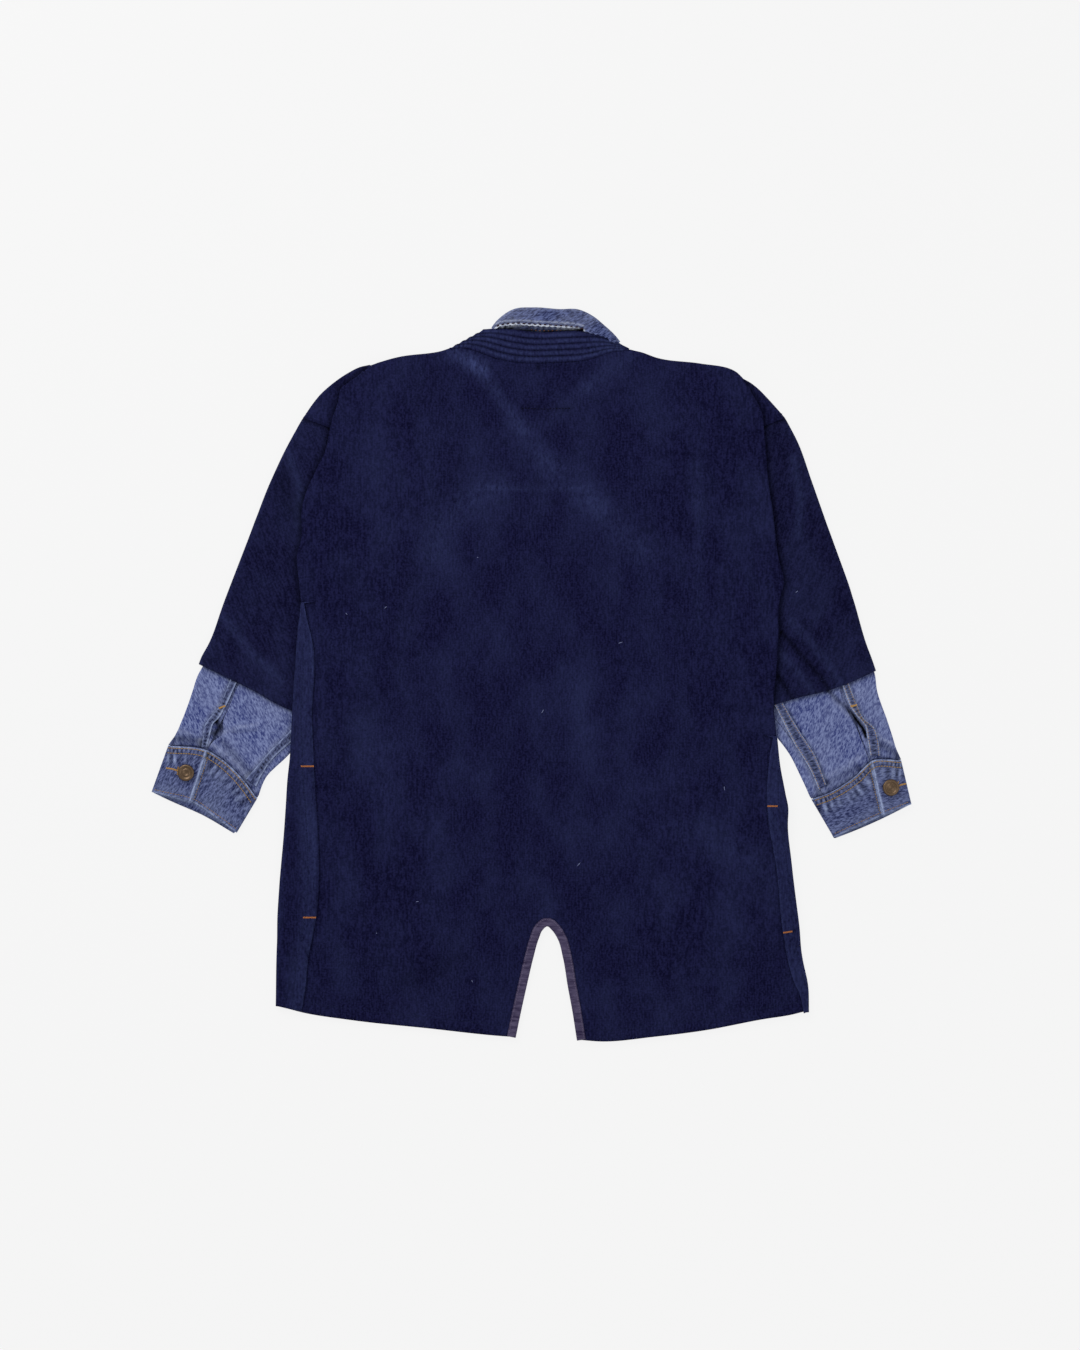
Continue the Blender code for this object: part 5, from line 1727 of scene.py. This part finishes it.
@dataclass
class Neck:
    """The stitched neck band and the denim collar folded over above it."""

    stations: int = 150
    band_rows: int = 5
    ridge: float = 0.9
    frayed: float = 0.72

    def build(self) -> None:
        """Builds the band and the collar."""
        self.band()
        self.collar()

    def band_line(self, share: float) -> Grid:
        """A line along the band, at a share of the way from its seam to its top.

        Args:
            share: The share, from 0 to 1.

        Returns:
            The line, a point for each station.
        """
        seam, top = through(BAND_SEAM, self.stations) + [0.0, GAP], through(BAND_TOP, self.stations)
        return seam + (top - seam) * share

    def band(self) -> None:
        """The band, whose rows of stitching leave ridges: ridge * |sin| ** 0.5 across each row."""
        rows = self.band_rows
        across = np.linspace(0.0, 1.0, rows * 10 + 1)
        plan = np.stack([self.band_line(share) for share in across])
        ridge = self.ridge * np.abs(np.sin(np.pi * across * rows)) ** 0.5
        thick = BAND - self.ridge
        lines = [self.band_line(row / rows)[::6] for row in range(1, rows)]
        ridges = [self.band_line((row + 0.5) / rows)[::6] for row in range(rows)]

        def wear_and_highlight(points: Grid) -> Grid:
            """Painted highlight on the tops of the ridges, which also makes the band paler."""
            return total([Mark(line, 2.0, 0.42) for line in ridges], points)

        def shade(points: Grid) -> Grid:
            """Painted shade in the hollows along the rows."""
            return total([Mark(line, 0.8, 0.5) for line in lines], points)

        Cloth("neck_band_piece", lift(plan, BAND_LOW + thick / 2 + ridge), thick, NAVY, "neck_band",
              "sashiko_navy", wear_and_highlight=wear_and_highlight, shade=shade).build()
        stitches = [StitchRow(self.band_line(row / rows)[3:-3], 3.4, 2.2, 0.3) for row in range(1, rows)]
        Sewing("neck_band_stitching", NAVY_THREAD, "neck_band_piece", "neck_band", "sashiko_navy",
               stitches).build()

    def collar(self) -> None:
        """The collar: a stand on the floor, a roll, and a leaf with a frayed, scalloped edge."""
        base, top, edge = (through(p, self.stations) for p in (COLLAR_BASE, COLLAR_TOP, COLLAR_EDGE))
        outward = unit(top - base)
        ends = np.linspace(0.0, 1.0, self.stations)
        taper = ease(ends / 0.05) * ease((1 - ends) / 0.05)
        roll = 1.2 + 2.2 * taper
        centre = top - outward * (roll + COLLAR / 2)[:, None]
        reach = np.maximum(((centre - edge) * outward).sum(axis=1), 0.8 + 3.2 * taper)
        travelled = np.concatenate([[0.0], np.cumsum(np.linalg.norm(np.diff(edge, axis=0), axis=1))])
        scallop = 1.1 * np.abs(np.sin(np.pi * travelled / SCALLOP)) * taper
        edge = centre - outward * (reach + scallop - 0.3)[:, None]
        low = COLLAR / 2
        high = low + 2 * roll
        grid = np.concatenate([lift(ruled(base, centre, 14), low),
                               turn(centre, outward, np.full(self.stations, low), high, 9, True),
                               lift(ruled(centre, edge, 18), high)], axis=1)
        inner = slice(6, int(self.stations * self.frayed))
        second = edge + outward * 5.0

        def wear_and_highlight(points: Grid) -> Grid:
            """White along the frayed edge, a pale line above it, and a soft pale roll."""
            marks = (Mark((edge + outward * 0.7)[inner], 0.95, 1.5), Mark(second[inner][::3], 0.9, 0.5),
                     Mark(COLLAR_TOP, 2.2, 0.14))
            return total(marks, points)

        def shade(points: Grid) -> Grid:
            """Painted shade in the slot above the neck band and in the hollow between the edge's two
            rows.
            """
            # Painted shade in the slot above the neck band.
            gap = [Mark(beside(BAND_TOP[1:6], distance), 1.4, 0.9) for distance in (0.6, 1.8)]
            return total((*gap, Mark((edge + outward * 3.0)[inner][::3], 1.0, 0.35)), points)

        Cloth("denim_collar_piece", grid, COLLAR, COLLAR_BLUE, "denim_collar", "denim_blue",
              wear_and_highlight=wear_and_highlight, shade=shade).build()
        Sewing("collar_edge_stitching", BROWN, "denim_collar_piece", "denim_collar", "denim_blue",
               [StitchRow((edge + outward * 1.9)[inner], SCALLOP, 3.2, 0.7)]).build()
        Sewing("collar_second_stitching", PALE, "denim_collar_piece", "denim_collar", "denim_blue",
               [StitchRow(second[inner], 3.4, 2.3, 0.3)]).build()
        Sewing("collar_stand_stitching", ORANGE, "denim_collar_piece", "denim_collar", "denim_blue",
               [StitchRow(((-2, 372.2), (8, 370.8), (22, 370.9), (34, 371.6)), 4.2, 1.2, 0.3)]).build()


@dataclass
class PocketBag:
    """The bag behind a side seam: one strip folded at its inner edge, open at its mouth."""

    side: Side

    def build(self) -> None:
        """Builds the bag between the front and the back."""
        mouth_top, mouth_bottom, inner_bottom, inner_top = (np.array(p, float) for p in self.side.pocket)
        plan = ruled(through([mouth_bottom, mouth_top], 30), through([inner_bottom, inner_top], 30), 20)
        low = front_mid(plan) + SASHIKO / 2 + 2 * GAP + POCKET / 2
        high = low + POCKET + 0.6
        bend = turn(plan[:, -1], unit(plan[:, -1] - plan[:, -2]), low[:, -1], high[:, -1], 3, True)
        grid = np.concatenate([lift(plan, low), bend, lift(plan[:, ::-1], high[:, ::-1])], axis=1)
        Cloth("pocket_bag_" + self.side.name, grid, POCKET, LINING, "pocket_" + self.side.name,
              "pocket_cotton", ("front_panel_" + self.side.name,)).build()


@dataclass
class Button:
    """A cast metal button on its shank, with a raised rim and a plain ringed face."""

    side: Side
    radius: float = 9.0
    height: float = 4.0
    shank: float = 3.0
    steps: int = 64

    def build(self) -> None:
        """Turns the profile round the button's axis: x = radius * cos(angle), y = radius * sin."""
        r, h = self.radius, self.height
        profile = np.array([(0.0, h - 0.7), (0.30 * r, h - 0.7), (0.34 * r, h - 0.4), (0.42 * r, h - 0.4),
                            (0.46 * r, h - 0.8), (0.62 * r, h - 0.8), (0.68 * r, h - 0.2),
                            (0.76 * r, h), (0.86 * r, h), (0.95 * r, h - 0.4), (r, h - 1.2),
                            (0.95 * r, h - 2.0), (self.shank, h - 2.2), (self.shank, 0.0), (0.0, 0.0)])
        angle = np.linspace(0.0, 2 * np.pi, self.steps, endpoint=False)
        ring = np.stack([np.cos(angle), np.sin(angle)], axis=1)
        base = CUFF_HIGH + 1.5 * CUFF + 2 * GAP
        plan = self.side.button + profile[:, None, :1] * ring[None]
        points = np.dstack([plan, np.broadcast_to(base + profile[:, 1:], plan.shape[:2])])
        faces = grid_faces(len(profile), self.steps, True, None)[:, ::-1]
        made = mesh_object("brass_button_" + self.side.name, points.reshape(-1, 3), faces,
                           BRASS.material())
        adopt(made, "cuff_button_" + self.side.name)


def lint() -> None:
    """A few short white fibres caught on the back and the sleeve."""
    places = (("back_panel", "back", ((-157, 72), (-58, 126), (-199, 65), (208, -123), (51, -205),
                                      (-123, -245), (-167, -279), (-64, -331), (12, -40), (96, 34))),
              ("outer_sleeve_right", "sleeve_right", ((286, 89),)))
    for number, (cloth, node, spots) in enumerate(places):
        rows = []
        for index, (x, y) in enumerate(spots):
            angle = 2.4 * index + 0.7
            reach = 1.6 + 0.8 * math.sin(5.0 * index)
            dx, dy = reach * math.cos(angle), reach * math.sin(angle)
            rows.append(StitchRow(((x - dx, y - dy), (x + dx, y + dy)), 9.0, 2 * reach, 0.35))
        Sewing(f"lint_{number}", LINT, cloth, node, "sashiko_navy", rows).build()


def light_and_camera() -> None:
    """Sets the pale floor, soft studio light and a camera straight above, as in the photograph."""
    reach = 3000
    corners = [(-reach, -reach, 0), (reach, -reach, 0), (reach, reach, 0), (-reach, reach, 0)]
    floor = mesh_object("floor", corners, [(0, 1, 2, 3)], PAPER.material())
    floor.location.z = -0.05 * MM
    lamps = (("key", (-1.1, 1.5, 1.6), 1.2, 22.0), ("fill", (1.4, -0.8, 2.4), 2.0, 10.0))
    for name, place, size, power in lamps:
        data = bpy.data.lights.new(name, "AREA")
        data.size = size
        data.energy = power
        lamp = bpy.data.objects.new(name, data)
        lamp.location = place
        lamp.rotation_euler = (-Vector(place)).to_track_quat("-Z", "Y").to_euler()
        bpy.context.scene.collection.objects.link(lamp)
    world = bpy.data.worlds.new("soft_room")
    world.use_nodes = True
    world.node_tree.nodes["Background"].inputs["Color"].default_value = linear("#ffffff")
    world.node_tree.nodes["Background"].inputs["Strength"].default_value = 0.5
    bpy.context.scene.world = world
    bpy.context.scene.view_settings.view_transform = "Standard"
    lens = bpy.data.cameras.new("above")
    lens.lens = 85.0
    camera = bpy.data.objects.new("above", lens)
    camera.location = (0.0092, -0.0008, 3.4425)
    bpy.context.scene.collection.objects.link(camera)
    bpy.context.scene.camera = camera


def main() -> None:
    """Builds the coat in order, from the body out."""
    logging.basicConfig(level=logging.INFO, format="%(message)s")
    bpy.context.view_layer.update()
    Body().build()
    LOG.info("back, fronts, bands and vent binding built")
    for side in SIDES:
        Arm(side).build()
        CuffPiece(side).build()
        Button(side).build()
        PocketBag(side).build()
        LOG.info("%s arm, cuff, button and pocket built", side.name)
    Neck().build()
    lint()
    LOG.info("neck band, collar and lint built")
    light_and_camera()
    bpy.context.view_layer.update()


if __name__ == "__main__":
    main()
